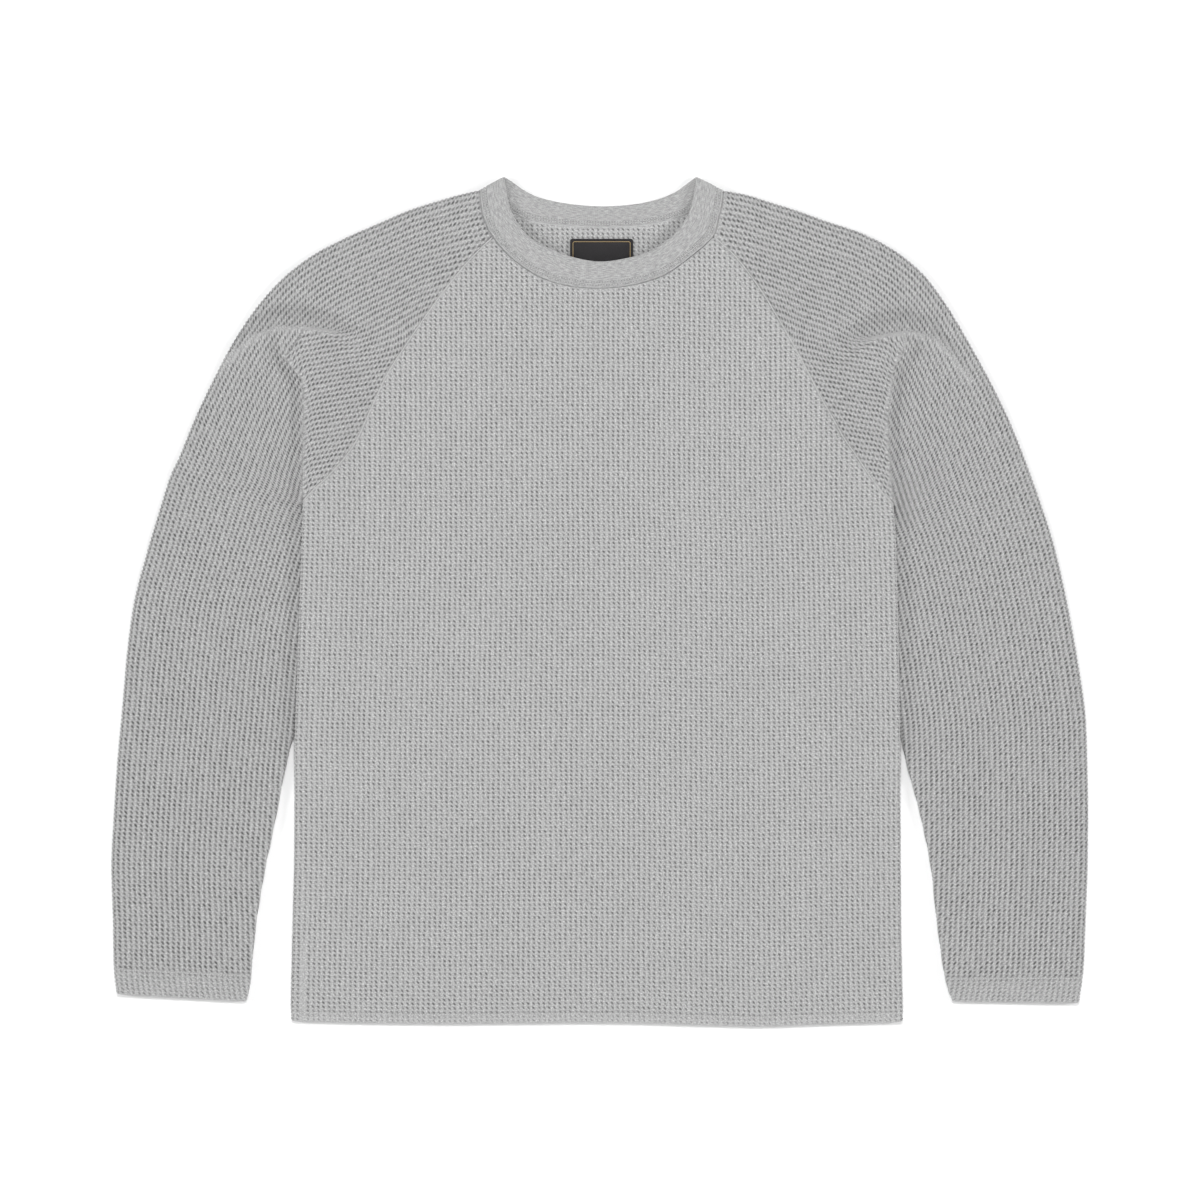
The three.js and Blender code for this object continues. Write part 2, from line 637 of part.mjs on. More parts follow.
// The neckband: once round the neck, turning from front to back at each shoulder.
function bandGeometry() {
  const quarter = Math.PI / 2;
  const turns = [quarter, (quarter * 5) / 9, 0];
  const half = (table, layer) => {
    const last = table.length - 1;
    const flat = [];
    for (let position = 1; position <= last - 1; position += 0.5) {
      flat.push({ layer, table, position, turn: 0 });
    }
    const start = turns.map((turn) => ({ layer, table, end: 0, turn }));
    const finish = turns.map((turn) => ({ layer, table, end: last, turn })).reverse();
    return [...start, ...flat, ...finish];
  };
  const front = half(FRONT_BAND_ROWS, "front");
  const back = half(BACK_BAND_ROWS, "back").reverse();
  const stations = [...front, ...back.slice(1, -1)];
  const middle = BAND_HEIGHT / 2;
  // Row position of a point of the turn at a shoulder, by its distance from the fold line.
  const turnPosition = (table, end, reach) => {
    const last = table.length - 1;
    const outer = table[end];
    const inner = end === 0 ? table[1] : table[last - 1];
    const span = Math.hypot(inner.seamX - outer.seamX, inner.seamY - outer.seamY);
    return end === 0 ? reach / span : last - reach / span;
  };
  const plan = (table, position, across) => {
    const at = (column) => curve(table, column, position);
    return [lerp(at("seamX"), at("freeX"), across), lerp(at("seamY"), at("freeY"), across)];
  };
  const point = (station, across, wall) => {
    const { table, layer, turn } = station;
    const last = table.length - 1;
    const reach = BAND_RADIUS - (BAND_RADIUS - wall) * Math.sin(turn);
    const position = station.position ?? turnPosition(table, station.end, reach);
    let [x, y] = plan(table, position, across.at);
    if (turn === quarter) {
      const other = BACK_BAND_ROWS;
      const end = station.end === 0 ? 0 : other.length - 1;
      const [backX, backY] = plan(other, turnPosition(other, end, reach), across.at);
      [x, y] = [(x + backX) / 2, (y + backY) / 2];
    }
    const outward = layer === "front" ? 1 : -1;
    const fromShoulder = Math.min(position, last - position);
    const lift = layer === "front" ? BAND_LIFT * across.at * smooth(0.5, 4, fromShoulder) : 0;
    const inset = wall > 0 ? wall - across.thin : across.thin;
    const level = Math.max(middle + outward * lift - inset, LEAST_GAP / 2);
    return [x, y, middle + outward * level * Math.cos(turn)];
  };
  const grid = (wall) => {
    return stations.map((station) => BAND_ACROSS.map((across) => point(station, across, wall)));
  };
  return shell(grid(0), grid(BAND_WALL), { loop: true, flip: true });
}

// The woven label inside the back of the neck, on the back panel's inner face.
function labelGeometry() {
  const rows = 4;
  const columns = 6;
  const grid = (height) => {
    return Array.from({ length: rows + 1 }, (_, i) => {
      return Array.from({ length: columns + 1 }, (__, j) => {
        const x = LABEL.x + LABEL.width * (j / columns - 0.5);
        const y = LABEL.top - LABEL.height * (1 - i / rows);
        return [x, y, bodyBottom(x, y) + WALL + SEAM_GAP + height];
      });
    });
  };
  return shell(grid(LABEL.thickness), grid(0));
}

const KNIT = { color: 0xb4b4b5, roughness: 0.95, metalness: 0 };
const RIB = { color: 0xb7b7b8, roughness: 0.9, metalness: 0 };
const WOVEN = { color: 0x1a191c, roughness: 0.7, metalness: 0 };

function piece(name, geometry, look) {
  const mesh = new THREE.Mesh(geometry, new THREE.MeshStandardMaterial(look));
  mesh.name = name;
  return mesh;
}

const top = new THREE.Group();
top.add(
  piece("back", panelGeometry("back"), KNIT),
  piece("front", panelGeometry("front"), KNIT),
  piece("sleeve_right", sleeveGeometry(RIGHT), KNIT),
  piece("sleeve_left", sleeveGeometry(LEFT), KNIT),
  piece("neckband", bandGeometry(), RIB),
  piece("label", labelGeometry(), WOVEN),
);

// The origin is on the surface, under the middle of the garment's outline.
const box = new THREE.Box3().setFromObject(top);
for (const mesh of top.children) {
  mesh.geometry.translate(-(box.min.x + box.max.x) / 2, -(box.min.y + box.max.y) / 2, -box.min.z);
}

export default top;
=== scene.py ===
"""A long-sleeved raglan thermal top of grey waffle knit, laid out flat on its back.

Sizes are in millimetres up to the point where a mesh is made, and metres after it.
+X runs towards the wearer's left sleeve, +Y towards the neck and +Z up from the surface.
"""

import math

import bmesh
import bpy
import numpy as np
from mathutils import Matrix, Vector


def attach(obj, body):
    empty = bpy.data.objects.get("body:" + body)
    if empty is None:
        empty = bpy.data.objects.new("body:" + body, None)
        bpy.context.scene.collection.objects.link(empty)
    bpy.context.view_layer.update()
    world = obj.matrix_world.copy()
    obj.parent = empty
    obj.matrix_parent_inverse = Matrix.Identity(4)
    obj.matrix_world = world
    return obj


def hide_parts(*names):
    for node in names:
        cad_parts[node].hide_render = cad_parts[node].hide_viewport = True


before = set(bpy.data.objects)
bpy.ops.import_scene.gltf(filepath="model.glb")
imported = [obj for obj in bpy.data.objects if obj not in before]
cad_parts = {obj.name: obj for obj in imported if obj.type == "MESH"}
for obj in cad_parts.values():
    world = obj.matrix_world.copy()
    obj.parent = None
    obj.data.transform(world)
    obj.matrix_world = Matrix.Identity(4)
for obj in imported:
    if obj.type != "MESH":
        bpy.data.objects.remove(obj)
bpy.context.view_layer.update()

MM = 0.001
UV_SCALE = 0.01  # of the UV map for each rib, course or millimetre of cloth
QUARTER = math.pi / 2

# -------- Sizes in millimetres, as in the solids
WALL = 1.8
SEAM_GAP = 0.3
FLAT_HEIGHT = 4.6
NECK_RISE, NECK_RISE_NEAR, NECK_RISE_FAR = 1.0, 115, 235
NECK_MIDDLE = (1, 328)
EDGE_RADIUS = 4
EDGE_ARC = 5.1  # length of cloth in the quarter turn at a laid edge
PILE, PILE_FULL, PILE_END = 5.3, 28, 62
PILE_START, PILE_RISEN, PILE_HOLD, PILE_GONE = -176, -118, 212, 248
LIP_OUT, LIP_IN = 1.6, 3.0
HEM_LEVEL, HEM_DEPTH, HEM_EXTRA = -370, 9, 0.4
CUFF_DEPTH, CUFF_EXTRA = 23, 0.5
CORNER = 5.0  # radius of the rounded corners of the hem and cuffs
FIRST_OPEN = 12  # the first sleeve section that runs to the body
BAND_WALL, BAND_RADIUS, BAND_HEIGHT, BAND_LIFT = 2.4, 3.4, 6.2, 0.9
BAND_MIDDLE = BAND_HEIGHT / 2
BAND_WIDTH = 24
BAND_ROUND = 0.075  # share of the band's width in its rounded free edge
BAND_STEP = 1.6  # from one section of the band to the next
LABEL_X, LABEL_TOP, LABEL_WIDTH, LABEL_HEIGHT, LABEL_THICK = 1.8, 319, 55.5, 35, 1.0
LABEL_BASE, LABEL_SINK = WALL + SEAM_GAP, 0.15
LEAST_GAP = 0.4
BACK_RISE = (9.7, 25.7)
SHOWN_REACH, SHOWN_FROM = 104, 238  # where the back panel's inside shows in the neck: across, up from

# -------- The knit
RIB = 4.45  # from one rib of the waffle to the next
SLEEVE_RIB = 4.7  # and a little further apart on the sleeves
COURSE = 3.78  # from one row of pits to the next
PIT_DEPTH = 1.15
FLAP_RIB = 4.31  # the ribs lie closer where the cloth is folded over the armpit
FLAP_SLOPE = math.radians(11)
FLAP_BEND, FLAP_BEND_NEAR = 0.5, 9  # the ribs there turn down beside the lip
FLAP_MEETS = (198, 228)  # where the flap's knit runs on into the cap's
SLEEVE_MERGE = 0.3  # how far the sleeves' pits open into each other along the ribs
FINE_FROM, FINE_TO = 11.0, 20.0  # row positions between which the sections lie at half pitch
FINE_DEPTH = 20 * SLEEVE_RIB / 2  # from this far inside the outer edge the points lie at half pitch
MOST_ROWS = 700  # more than a panel has from the hem to the neck
EDGE_BEADS = 0.5  # the courses show as small beads along a laid edge
SEAM_RIDGE = 0.4  # the cloth stands up beside a raglan seam
KNIT_GREY = 0.425
SEED = 7

# -------- Folds, seams and stitches
CREST_OUTSIDE = 0.75  # share of the crest that is left beside the lip
LIP_VALLEY, CREST_VALLEY = 1.5, 1.5  # depth of the cloth beside the lip and beyond the crest
LIP_ROLL = 2.1  # how far the lip of the fold leans out over the sleeve below
CREST_LEAN = 1.6  # and its crest over the cap
INNER_DIP = 0.4  # how far the front half's inner face may sink below the middle, under a valley
INNER_EASE = 2.2  # the hidden inner face, which has fewer points, keeps this much clear of the lip
TOPSTITCH_AT = (0.115, 0.225)  # the twin rows of stitches, as shares of the band's width
STITCH_LENGTH, STITCH_PITCH, STITCH_RADIUS, STITCH_SIDES = 1.75, 2.4, 0.36, 6
# Rings of a stitch: share of its length, share of its radius, share of its radius upwards.
STITCH_RINGS = (-0.5, 0.25, -0.5), (-0.36, 0.9, 0.3), (0, 1, 0.55), (0.36, 0.9, 0.3), (0.5, 0.25, -0.5)
LINE_WIDTH = 1.1  # of the line that the stitches sink along the hem and the cuffs
SEAM_WIDTH, SEAM_HEIGHT = 1.1, 0.6
NO_SEAM, SEAM_REACH = 99, 98  # distance given where there is no raglan seam, and how far one counts
SIDE_SEAM = [(-262.5, -205), (-260.5, -300), (-260.5, -372)]  # shows near the hem, on the front

# -------- Floor and camera, in metres
FLOOR_SIZE = 24.0
VIEW_WIDTH = 1.056  # what the picture shows across, on the surface
CAMERA_HEIGHT = 4.0
SENSOR = 36.0

# The body's side edges up to the underarm and the lips of the armpit folds above it: y, left, right.
EDGE_ROWS = np.array([
    [-374, -270.6, 266.6],
    [-355, -271.5, 266.6],
    [-300, -270.3, 265.3],
    [-228, -268.4, 264.8],
    [-122, -268.0, 264.4],
    [-40, -265.0, 263.0],
    [20, -263.0, 261.7],
    [60, -261.6, 260.4],
    [85, -261.0, 258.4],
    [116, -260.5, 255.2],
    [140, -260.0, 253.6],
    [160, -259.7, 253.0],
    [181, -259.4, 255.2],
    [195, -260.8, 256.4],
    [206, -270.4, 258.9],
    [216, -276.2, 264.0],
    [226, -280.3, 268.5],
    [240, -283.0, 272.0],
])

# The hem's lowest line: x, y.
HEM_ROWS = np.array([
    [-270, -369.0],
    [-200, -370.2],
    [-131, -371.0],
    [-16, -370.0],
    [34, -370.2],
    [90, -372.2],
    [137, -373.4],
    [190, -371.5],
    [251, -370.0],
    [267, -369.2],
])

# Sleeve sections from the cuff to the neck: outer x, outer y, inner x, inner y.
RIGHT_SECTIONS = np.array([
    [-424.2, -345.4, -309.8, -351.6],
    [-426.8, -324.3, -306.2, -330.4],
    [-427.7, -280.3, -301.8, -284.7],
    [-429.0, -231.9, -293.9, -236.3],
    [-426.8, -187.9, -284.7, -192.3],
    [-423.7, -139.5, -275.2, -143.9],
    [-419.8, -97.2, -265.3, -106.0],
    [-415.4, -47.1, -255.6, -62.0],
    [-408.8, 1.3, -245.1, -18.0],
    [-397.3, 45.3, -240.7, 21.6],
    [-386.8, 80.5, -247.7, 54.1],
    [-378.0, 108.7, -256.5, 73.0],
    [-369.2, 128.0, -261.2, 85.6],
    [-355.1, 162.4, -253.0, 96.4],
    [-339.2, 195.8, -239.8, 108.7],
    [-320.8, 230.1, -224.0, 126.3],
    [-300.5, 260.0, -213.4, 142.1],
    [-277.6, 285.1, -205.5, 159.7],
    [-253.0, 304.0, -196.7, 179.1],
    [-224.8, 319.0, -186.1, 201.1],
    [-194.9, 332.2, -172.0, 223.1],
    [-168.5, 343.6, -156.2, 246.4],
    [-145.6, 351.1, -137.7, 271.9],
    [-124.5, 357.3, -115.7, 298.8],
    [-105.2, 362.1, -93.7, 320.8],
])
LEFT_SECTIONS = np.array([
    [421.3, -353.1, 309.3, -351.6],
    [425.2, -326.0, 302.7, -327.0],
    [427.2, -282.0, 296.1, -281.0],
    [429.0, -231.9, 290.8, -233.0],
    [429.4, -183.5, 281.2, -186.0],
    [428.6, -136.8, 268.8, -140.0],
    [426.8, -97.2, 262.2, -106.0],
    [420.2, -51.5, 251.7, -62.0],
    [411.0, -0.4, 242.4, -18.0],
    [399.5, 49.7, 238.0, 21.6],
    [388.1, 85.8, 245.1, 53.2],
    [378.8, 112.2, 254.5, 70.5],
    [370.9, 133.3, 258.6, 83.6],
    [357.7, 165.0, 248.6, 95.5],
    [341.9, 196.7, 237.2, 110.9],
    [323.4, 230.1, 224.8, 129.4],
    [304.9, 260.9, 214.7, 143.9],
    [283.8, 288.6, 205.5, 160.6],
    [258.3, 309.3, 195.8, 177.8],
    [229.2, 324.3, 185.2, 198.4],
    [199.3, 334.4, 172.5, 222.2],
    [173.8, 343.6, 158.8, 246.4],
    [150.0, 351.1, 141.7, 274.1],
    [128.9, 357.7, 121.0, 301.8],
    [108.7, 361.7, 99.9, 321.2],
])

# The crest of the fold over each armpit: x, y, rise, width above, width below.
RIGHT_CREST = np.array([
    [-341, 196, 0.4, 5, 8],
    [-321, 217, 2.6, 4, 9],
    [-303, 232, 5.0, 3.6, 9],
    [-283, 239, 6.9, 3.4, 10],
    [-260, 239, 6.3, 3.6, 20],
    [-235, 236, 4.2, 4.5, 22],
    [-212, 231, 2.0, 7, 20],
    [-196, 228, 0.3, 10, 20],
])
LEFT_CREST = np.array([
    [326, 194, 0.4, 5, 8],
    [308, 216, 2.6, 4, 9],
    [294, 229, 5.0, 3.6, 9],
    [277, 235, 6.9, 3.4, 10],
    [256, 233, 6.3, 3.6, 20],
    [235, 229, 4.2, 4.5, 22],
    [216, 225, 2.0, 7, 20],
    [200, 222, 0.3, 10, 20],
])

# The neckband across its width, right shoulder to left: seam x, seam y, free edge x, free edge y.
FRONT_BAND = np.array([
    [-105.2, 362.1, -84.0, 373.6],
    [-104.3, 351.0, -82.0, 362.0],
    [-102.0, 338.0, -79.5, 349.5],
    [-93.7, 320.8, -73.7, 334.8],
    [-77.5, 302.3, -61.5, 320.5],
    [-52.0, 285.0, -42.0, 309.3],
    [-24.0, 276.8, -20.0, 301.8],
    [3.0, 275.4, 1.0, 298.8],
    [30.4, 278.5, 22.4, 301.5],
    [57.2, 287.1, 43.5, 307.5],
    [80.0, 303.0, 62.5, 320.0],
    [99.9, 321.2, 75.5, 335.5],
    [105.2, 339.5, 81.0, 349.5],
    [108.0, 351.0, 83.2, 361.5],
    [108.7, 361.7, 84.9, 373.6],
])
BACK_BAND = np.array([
    [-105.2, 362.1, -84.0, 373.6],
    [-95.0, 354.5, -77.0, 369.3],
    [-84.0, 346.5, -68.0, 362.8],
    [-73.0, 340.2, -58.0, 357.3],
    [-60.3, 334.8, -47.0, 353.7],
    [-34.8, 331.3, -28.0, 350.0],
    [0.4, 329.6, 0.4, 347.6],
    [35.6, 330.9, 29.0, 349.3],
    [58.1, 334.8, 45.5, 352.3],
    [74.9, 339.9, 58.0, 356.2],
    [85.0, 345.5, 68.0, 361.0],
    [97.0, 353.3, 77.5, 368.0],
    [108.7, 361.7, 84.9, 373.6],
])
BANDS = {"front": FRONT_BAND, "back": BACK_BAND}
CORNERS = {"front": (3, 11), "back": (2, 10)}  # the rows where the raglan seams meet the band
OUTWARD = {"front": 1, "back": -1}

# Faint creases that show in the cloth: from x, y to x, y, height, width.
BODY_CREASES = [
    (124, -16, 222, 30, 0.8, 12),
    (-262, 96, -216, 60, 0.5, 10),
    (90, -120, 190, -60, 0.35, 18),
    (-200, -40, -60, -90, 0.35, 22),
    (-150, -300, 60, -270, 0.35, 22),
    (-120, 170, 40, 130, 0.3, 24),
]
SLEEVE_CREASES = [
    (262, 168, 318, 118, 1.5, 7),
    (266, 196, 300, 168, 1.1, 6),
    (-282, 210, -312, 150, 0.9, 8),
    (-352, 90, -290, 70, 0.5, 12),
    (-400, -120, -310, -170, 0.5, 16),
    (-420, -240, -340, -290, 0.5, 14),
    (350, 40, 410, -40, 0.5, 14),
    (320, -190, 410, -150, 0.5, 16),
    (340, -300, 420, -260, 0.4, 12),
]


class Side:
    """One side of the garment: its edge, its sleeve's sections and the fold over its armpit."""

    def __init__(self, sign, edge_column, sections, crest):
        self.sign = sign
        self.edge = EDGE_ROWS[:, edge_column]
        self.sections = sections
        self.crest = crest

    def edge_x(self, y):
        return np.interp(y, EDGE_ROWS[:, 0], self.edge)

    def inside(self, x, y):
        return self.sign * (self.edge_x(y) - x)

    def crest_y(self, x):
        along = self.crest if self.sign < 0 else self.crest[::-1]
        return np.interp(x, along[:, 0], along[:, 1])


RIGHT = Side(-1, 1, RIGHT_SECTIONS, RIGHT_CREST)
LEFT = Side(1, 2, LEFT_SECTIONS, LEFT_CREST)


# -------- Heights of the laid cloth
def arc_lengths(path):
    return np.concatenate([[0], np.cumsum(np.linalg.norm(np.diff(path, axis=0), axis=1))])


def at_lengths(lengths, arc, path):
    """Points of a path at given lengths along it."""
    return np.stack([np.interp(lengths, arc, path[:, k]) for k in range(path.shape[1])], axis=-1)


def unit(vectors):
    return vectors / np.maximum(np.linalg.norm(vectors, axis=-1), 1e-9)[..., None]


def bump_at(distance, width):
    """1 where the distance is 0, falling off over a width."""
    return np.exp(-((distance / width) ** 2))


def smooth(start, end, value):
    t = np.clip((value - start) / (end - start), 0, 1)
    return t * t * (3 - 2 * t)


def from_segment(x, y, ax, ay, bx, by):
    """Distance from a segment, and the share of its length at the nearest point."""
    dx, dy = bx - ax, by - ay
    t = np.clip(((x - ax) * dx + (y - ay) * dy) / (dx * dx + dy * dy), 0, 1)
    return np.hypot(x - ax - dx * t, y - ay - dy * t), t


def from_path(x, y, path):
    best = np.full(np.shape(x), 1e9)
    for (ax, ay), (bx, by) in zip(path[:-1], path[1:]):
        best = np.minimum(best, from_segment(x, y, ax, ay, bx, by)[0])
    return best


def pile_of(side, x, y):
    along = smooth(PILE_START, PILE_RISEN, y) * (1 - smooth(PILE_HOLD, PILE_GONE, y))
    return PILE * along * (1 - smooth(PILE_FULL, PILE_END, side.inside(x, y)))


def crest_of(side, x, y):
    """Height of the fold over the armpit, and the distance from its crest."""
    best = np.full(np.shape(x), 1e9)
    height = np.zeros(np.shape(x))
    for a, b in zip(side.crest[:-1], side.crest[1:]):
        away, t = from_segment(x, y, a[0], a[1], b[0], b[1])
        rise, above, below = (a[k] + (b[k] - a[k]) * t for k in (2, 3, 4))
        width = np.where(y > a[1] + (b[1] - a[1]) * t, above, below)
        nearer = away < best
        height = np.where(nearer, rise * bump_at(away, width), height)
        best = np.minimum(best, away)
    return height, best


def by_side(function, x, y):
    return np.where(x < 0, function(RIGHT, x, y), function(LEFT, x, y))


def pile(x, y):
    return by_side(pile_of, x, y)


def crest(x, y, part=0):
    """Height of the folds over the armpits, or with part=1 the distance from their crests."""
    return by_side(lambda side, px, py: crest_of(side, px, py)[part], x, y)


def flat_top(x, y):
    away = np.hypot(x - NECK_MIDDLE[0], y - NECK_MIDDLE[1])
    return FLAT_HEIGHT + NECK_RISE * (1 - smooth(NECK_RISE_NEAR, NECK_RISE_FAR, away))


def creases(table, x, y):
    total = np.zeros(np.shape(x))
    for ax, ay, bx, by, height, width in table:
        away, t = from_segment(x, y, ax, ay, bx, by)
        ends = np.sin(np.pi * (0.15 + 0.7 * t))
        total = total + height * ends * bump_at(away, width)
    return total


def swell(x, y):
    """The slight unevenness of cloth that lies free, about a third of a millimetre."""
    waves = [(0.031, 0.017, 0.4), (-0.019, 0.043, 1.9), (0.052, -0.024, 3.1), (0.011, 0.061, 5.2)]
    return 0.12 * sum(np.sin(a * x + b * y + c) for a, b, c in waves)


def hem_y(x):
    return np.interp(x, *HEM_ROWS.T)


def curve(values, position):
    """A smooth curve through a column of a table, at row positions such as 3.5."""
    last = len(values) - 1
    i = np.clip(np.floor(position).astype(int), 0, last - 1)
    t = position - i
    p0, p1, p2, p3 = (values[np.clip(i + k, 0, last)] for k in (-1, 0, 1, 2))
    ends = p1 * (2 * t**3 - 3 * t**2 + 1) + p2 * (3 * t**2 - 2 * t**3)
    return ends + (p2 - p0) / 2 * (t**3 - 2 * t**2 + t) + (p3 - p1) / 2 * (t**3 - t**2)


def shift_path(path, distance):
    """A path moved sideways, to the right of its direction of travel."""
    before = path[np.maximum(np.arange(len(path)) - 1, 0)]
    after = path[np.minimum(np.arange(len(path)) + 1, len(path) - 1)]
    step = unit(after - before)
    return path + distance * np.stack([step[:, 1], -step[:, 0]], axis=1)


def curve_xy(table, position):
    return np.stack([curve(table[:, k], position) for k in (0, 1)], axis=-1)


def neck_path(layer, start, end, steps):
    return shift_path(curve_xy(BANDS[layer], np.linspace(start, end, steps + 1)), SEAM_GAP)


# -------- Sheets of points
class Skin:
    """Points in lines that start level with each other and may end at different places.

    cloth holds each point's place in the knit, counted in ribs and courses.
    """

    def __init__(self, lines, cloth, up):
        counts = [len(line) for line in lines]
        self.starts = np.concatenate([[0], np.cumsum(counts)[:-1]])
        self.ends = np.cumsum(counts) - 1
        self.points = np.concatenate(lines)
        self.cloth = np.concatenate(cloth)
        quads, fans = [], []
        for i in range(len(lines) - 1):
            a, b = self.starts[i], self.starts[i + 1]
            shared = min(counts[i], counts[i + 1])
            k = np.arange(shared - 1)
            quads.append(np.stack([a + k, b + k, b + k + 1, a + k + 1], axis=1))
            if counts[i] > shared:
                k = np.arange(shared - 1, counts[i] - 1)
                fans.append(np.stack([a + k, 0 * k + b + shared - 1, a + k + 1], axis=1))
            elif counts[i + 1] > shared:
                k = np.arange(shared - 1, counts[i + 1] - 1)
                fans.append(np.stack([0 * k + a + shared - 1, b + k, b + k + 1], axis=1))
        self.quads = np.concatenate(quads)
        self.fans = np.concatenate(fans) if fans else np.zeros((0, 3), dtype=int)
        self.up = up
        self.open = np.ones(len(self.points))

    def line(self, i):
        i = i % len(self.starts)
        return np.arange(self.starts[i], self.ends[i] + 1)

    def normals(self):
        total = np.zeros_like(self.points)
        for faces, edges in ((self.quads, (2, 0, 3, 1)), (self.fans, (1, 0, 2, 0))):
            a, b, c, d = (self.points[faces[:, k]] for k in edges)
            across = np.cross(a - b, c - d)
            for corner in faces.T:
                np.add.at(total, corner, across)
        total = total / np.maximum(np.linalg.norm(total, axis=1), 1e-12)[:, None]
        return total * (1 if total[:, 2].mean() * self.up > 0 else -1)


def ring_faces(rows, columns, last_row=False):
    """Quads round a tube of points; with last_row the last row joins the first one too."""
    index = np.arange(rows * columns).reshape(rows, columns)
    after = np.roll(index, -1, axis=0)
    faces = np.stack([index, np.roll(index, -1, axis=1), np.roll(after, -1, axis=1), after], axis=2)
    return (faces if last_row else faces[:-1]).reshape(-1, 4).tolist()


def tube_faces(rows, columns):
    """A tube of points with both ends closed."""
    last = (rows - 1) * columns
    return ring_faces(rows, columns) + [list(range(columns)), list(range(last, last + columns))[::-1]]


class Shell:
    """Skins that are joined along their rims into one closed piece of cloth."""

    def __init__(self):
        self.points, self.cloth, self.open, self.faces, self.count = [], [], [], [], 0

    def add(self, skin):
        offset = self.count
        self.points.append(skin.points)
        self.cloth.append(skin.cloth)
        self.open.append(skin.open)
        self.faces += (skin.quads + offset).tolist() + (skin.fans + offset).tolist()
        self.count += len(skin.points)
        return offset

    def add_cloth(self, outer, inner):
        """Both faces of a cloth, joined along their first and last lines; returns their offsets."""
        a, b = self.add(outer), self.add(inner)
        for line in (0, -1):
            self.rim(outer.line(line) + a, inner.line(line) + b)
        return a, b

    def rim(self, a, b):
        """Triangles between two lines of points that run side by side."""
        points = np.concatenate(self.points)

        def shares(line):
            along = arc_lengths(points[line])
            return along / along[-1]

        a, b = [int(k) for k in a], [int(k) for k in b]
        share_a, share_b = shares(a), shares(b)
        i = j = 0
        while i < len(a) - 1 or j < len(b) - 1:
            a_next = j == len(b) - 1 or (i < len(a) - 1 and share_a[i + 1] <= share_b[j + 1])
            if a_next:
                self.faces.append([a[i], a[i + 1], b[j]])
                i += 1
            else:
                self.faces.append([a[i], b[j + 1], b[j]])
                j += 1

    def object(self, name, material):
        points = np.concatenate(self.points) * MM
        cloth = np.concatenate(self.cloth) * UV_SCALE
        return make_object(name, points, self.faces, cloth, material, np.concatenate(self.open))


def sheet_faces(index):
    """Quads of an open sheet of points."""
    corners = [index[:-1, :-1], index[:-1, 1:], index[1:, 1:], index[1:, :-1]]
    return np.stack(corners, axis=2).reshape(-1, 4)


def small_object(name, grid, faces, cloth, material):
    points, cloth = np.array(grid).reshape(-1, 3), np.array(cloth).reshape(-1, 2)
    return make_object(name, points * MM, faces, cloth * UV_SCALE, material, weld=False)


def make_object(name, points, faces, cloth, material, open_pits=None, weld=True):
    mesh = bpy.data.meshes.new(name)
    mesh.from_pydata(np.asarray(points).tolist(), [], faces)
    if open_pits is not None:
        layer = mesh.attributes.new("open_pits", "FLOAT", "POINT")
        layer.data.foreach_set("value", np.asarray(open_pits, dtype=np.float32))
    if cloth is not None:
        layer = mesh.uv_layers.new(name="cloth")
        corner = np.zeros(len(mesh.loops), dtype=np.int32)
        mesh.loops.foreach_get("vertex_index", corner)
        layer.data.foreach_set("uv", np.asarray(cloth)[corner].astype(np.float32).ravel())
    work = bmesh.new()
    work.from_mesh(mesh)
    if weld:
        bmesh.ops.remove_doubles(work, verts=work.verts, dist=2e-6)
        bmesh.ops.dissolve_degenerate(work, edges=work.edges, dist=1e-7)
    bmesh.ops.recalc_face_normals(work, faces=work.faces)
    work.to_mesh(mesh)
    work.free()
    mesh.polygons.foreach_set("use_smooth", np.ones(len(mesh.polygons), dtype=bool))
    mesh.materials.append(material)
    piece = bpy.data.objects.new(name, mesh)
    bpy.context.collection.objects.link(piece)
    return piece


# -------- Waffle relief
rng = np.random.default_rng(SEED)
UNEVEN = rng.uniform(0.72, 1.18, (64, 64))


def pits(cloth, merge):
    """How deep a point lies in its cell of the waffle, 0 on the walls and about 1 in the pit.

    merge opens the pits into each other along the ribs, as where the cloth is pulled lengthways.
    """
    u, v = cloth[:, 0], cloth[:, 1]
    round_u = 0.5 - 0.5 * np.cos(2 * np.pi * u)
    round_v = 1 - (1 - merge) * (0.5 + 0.5 * np.cos(2 * np.pi * v))
    cell = UNEVEN[np.floor(u).astype(int) % 64, np.floor(v).astype(int) % 64]
    return round_u * round_v * cell


def seam_ridge(distance):
    """The cloth dips at a seam and stands up a little beside it."""
    ridge = bump_at(distance - 1.7, 1.0)
    groove = bump_at(distance, 0.8)
    return SEAM_RIDGE * ridge - 0.5 * groove


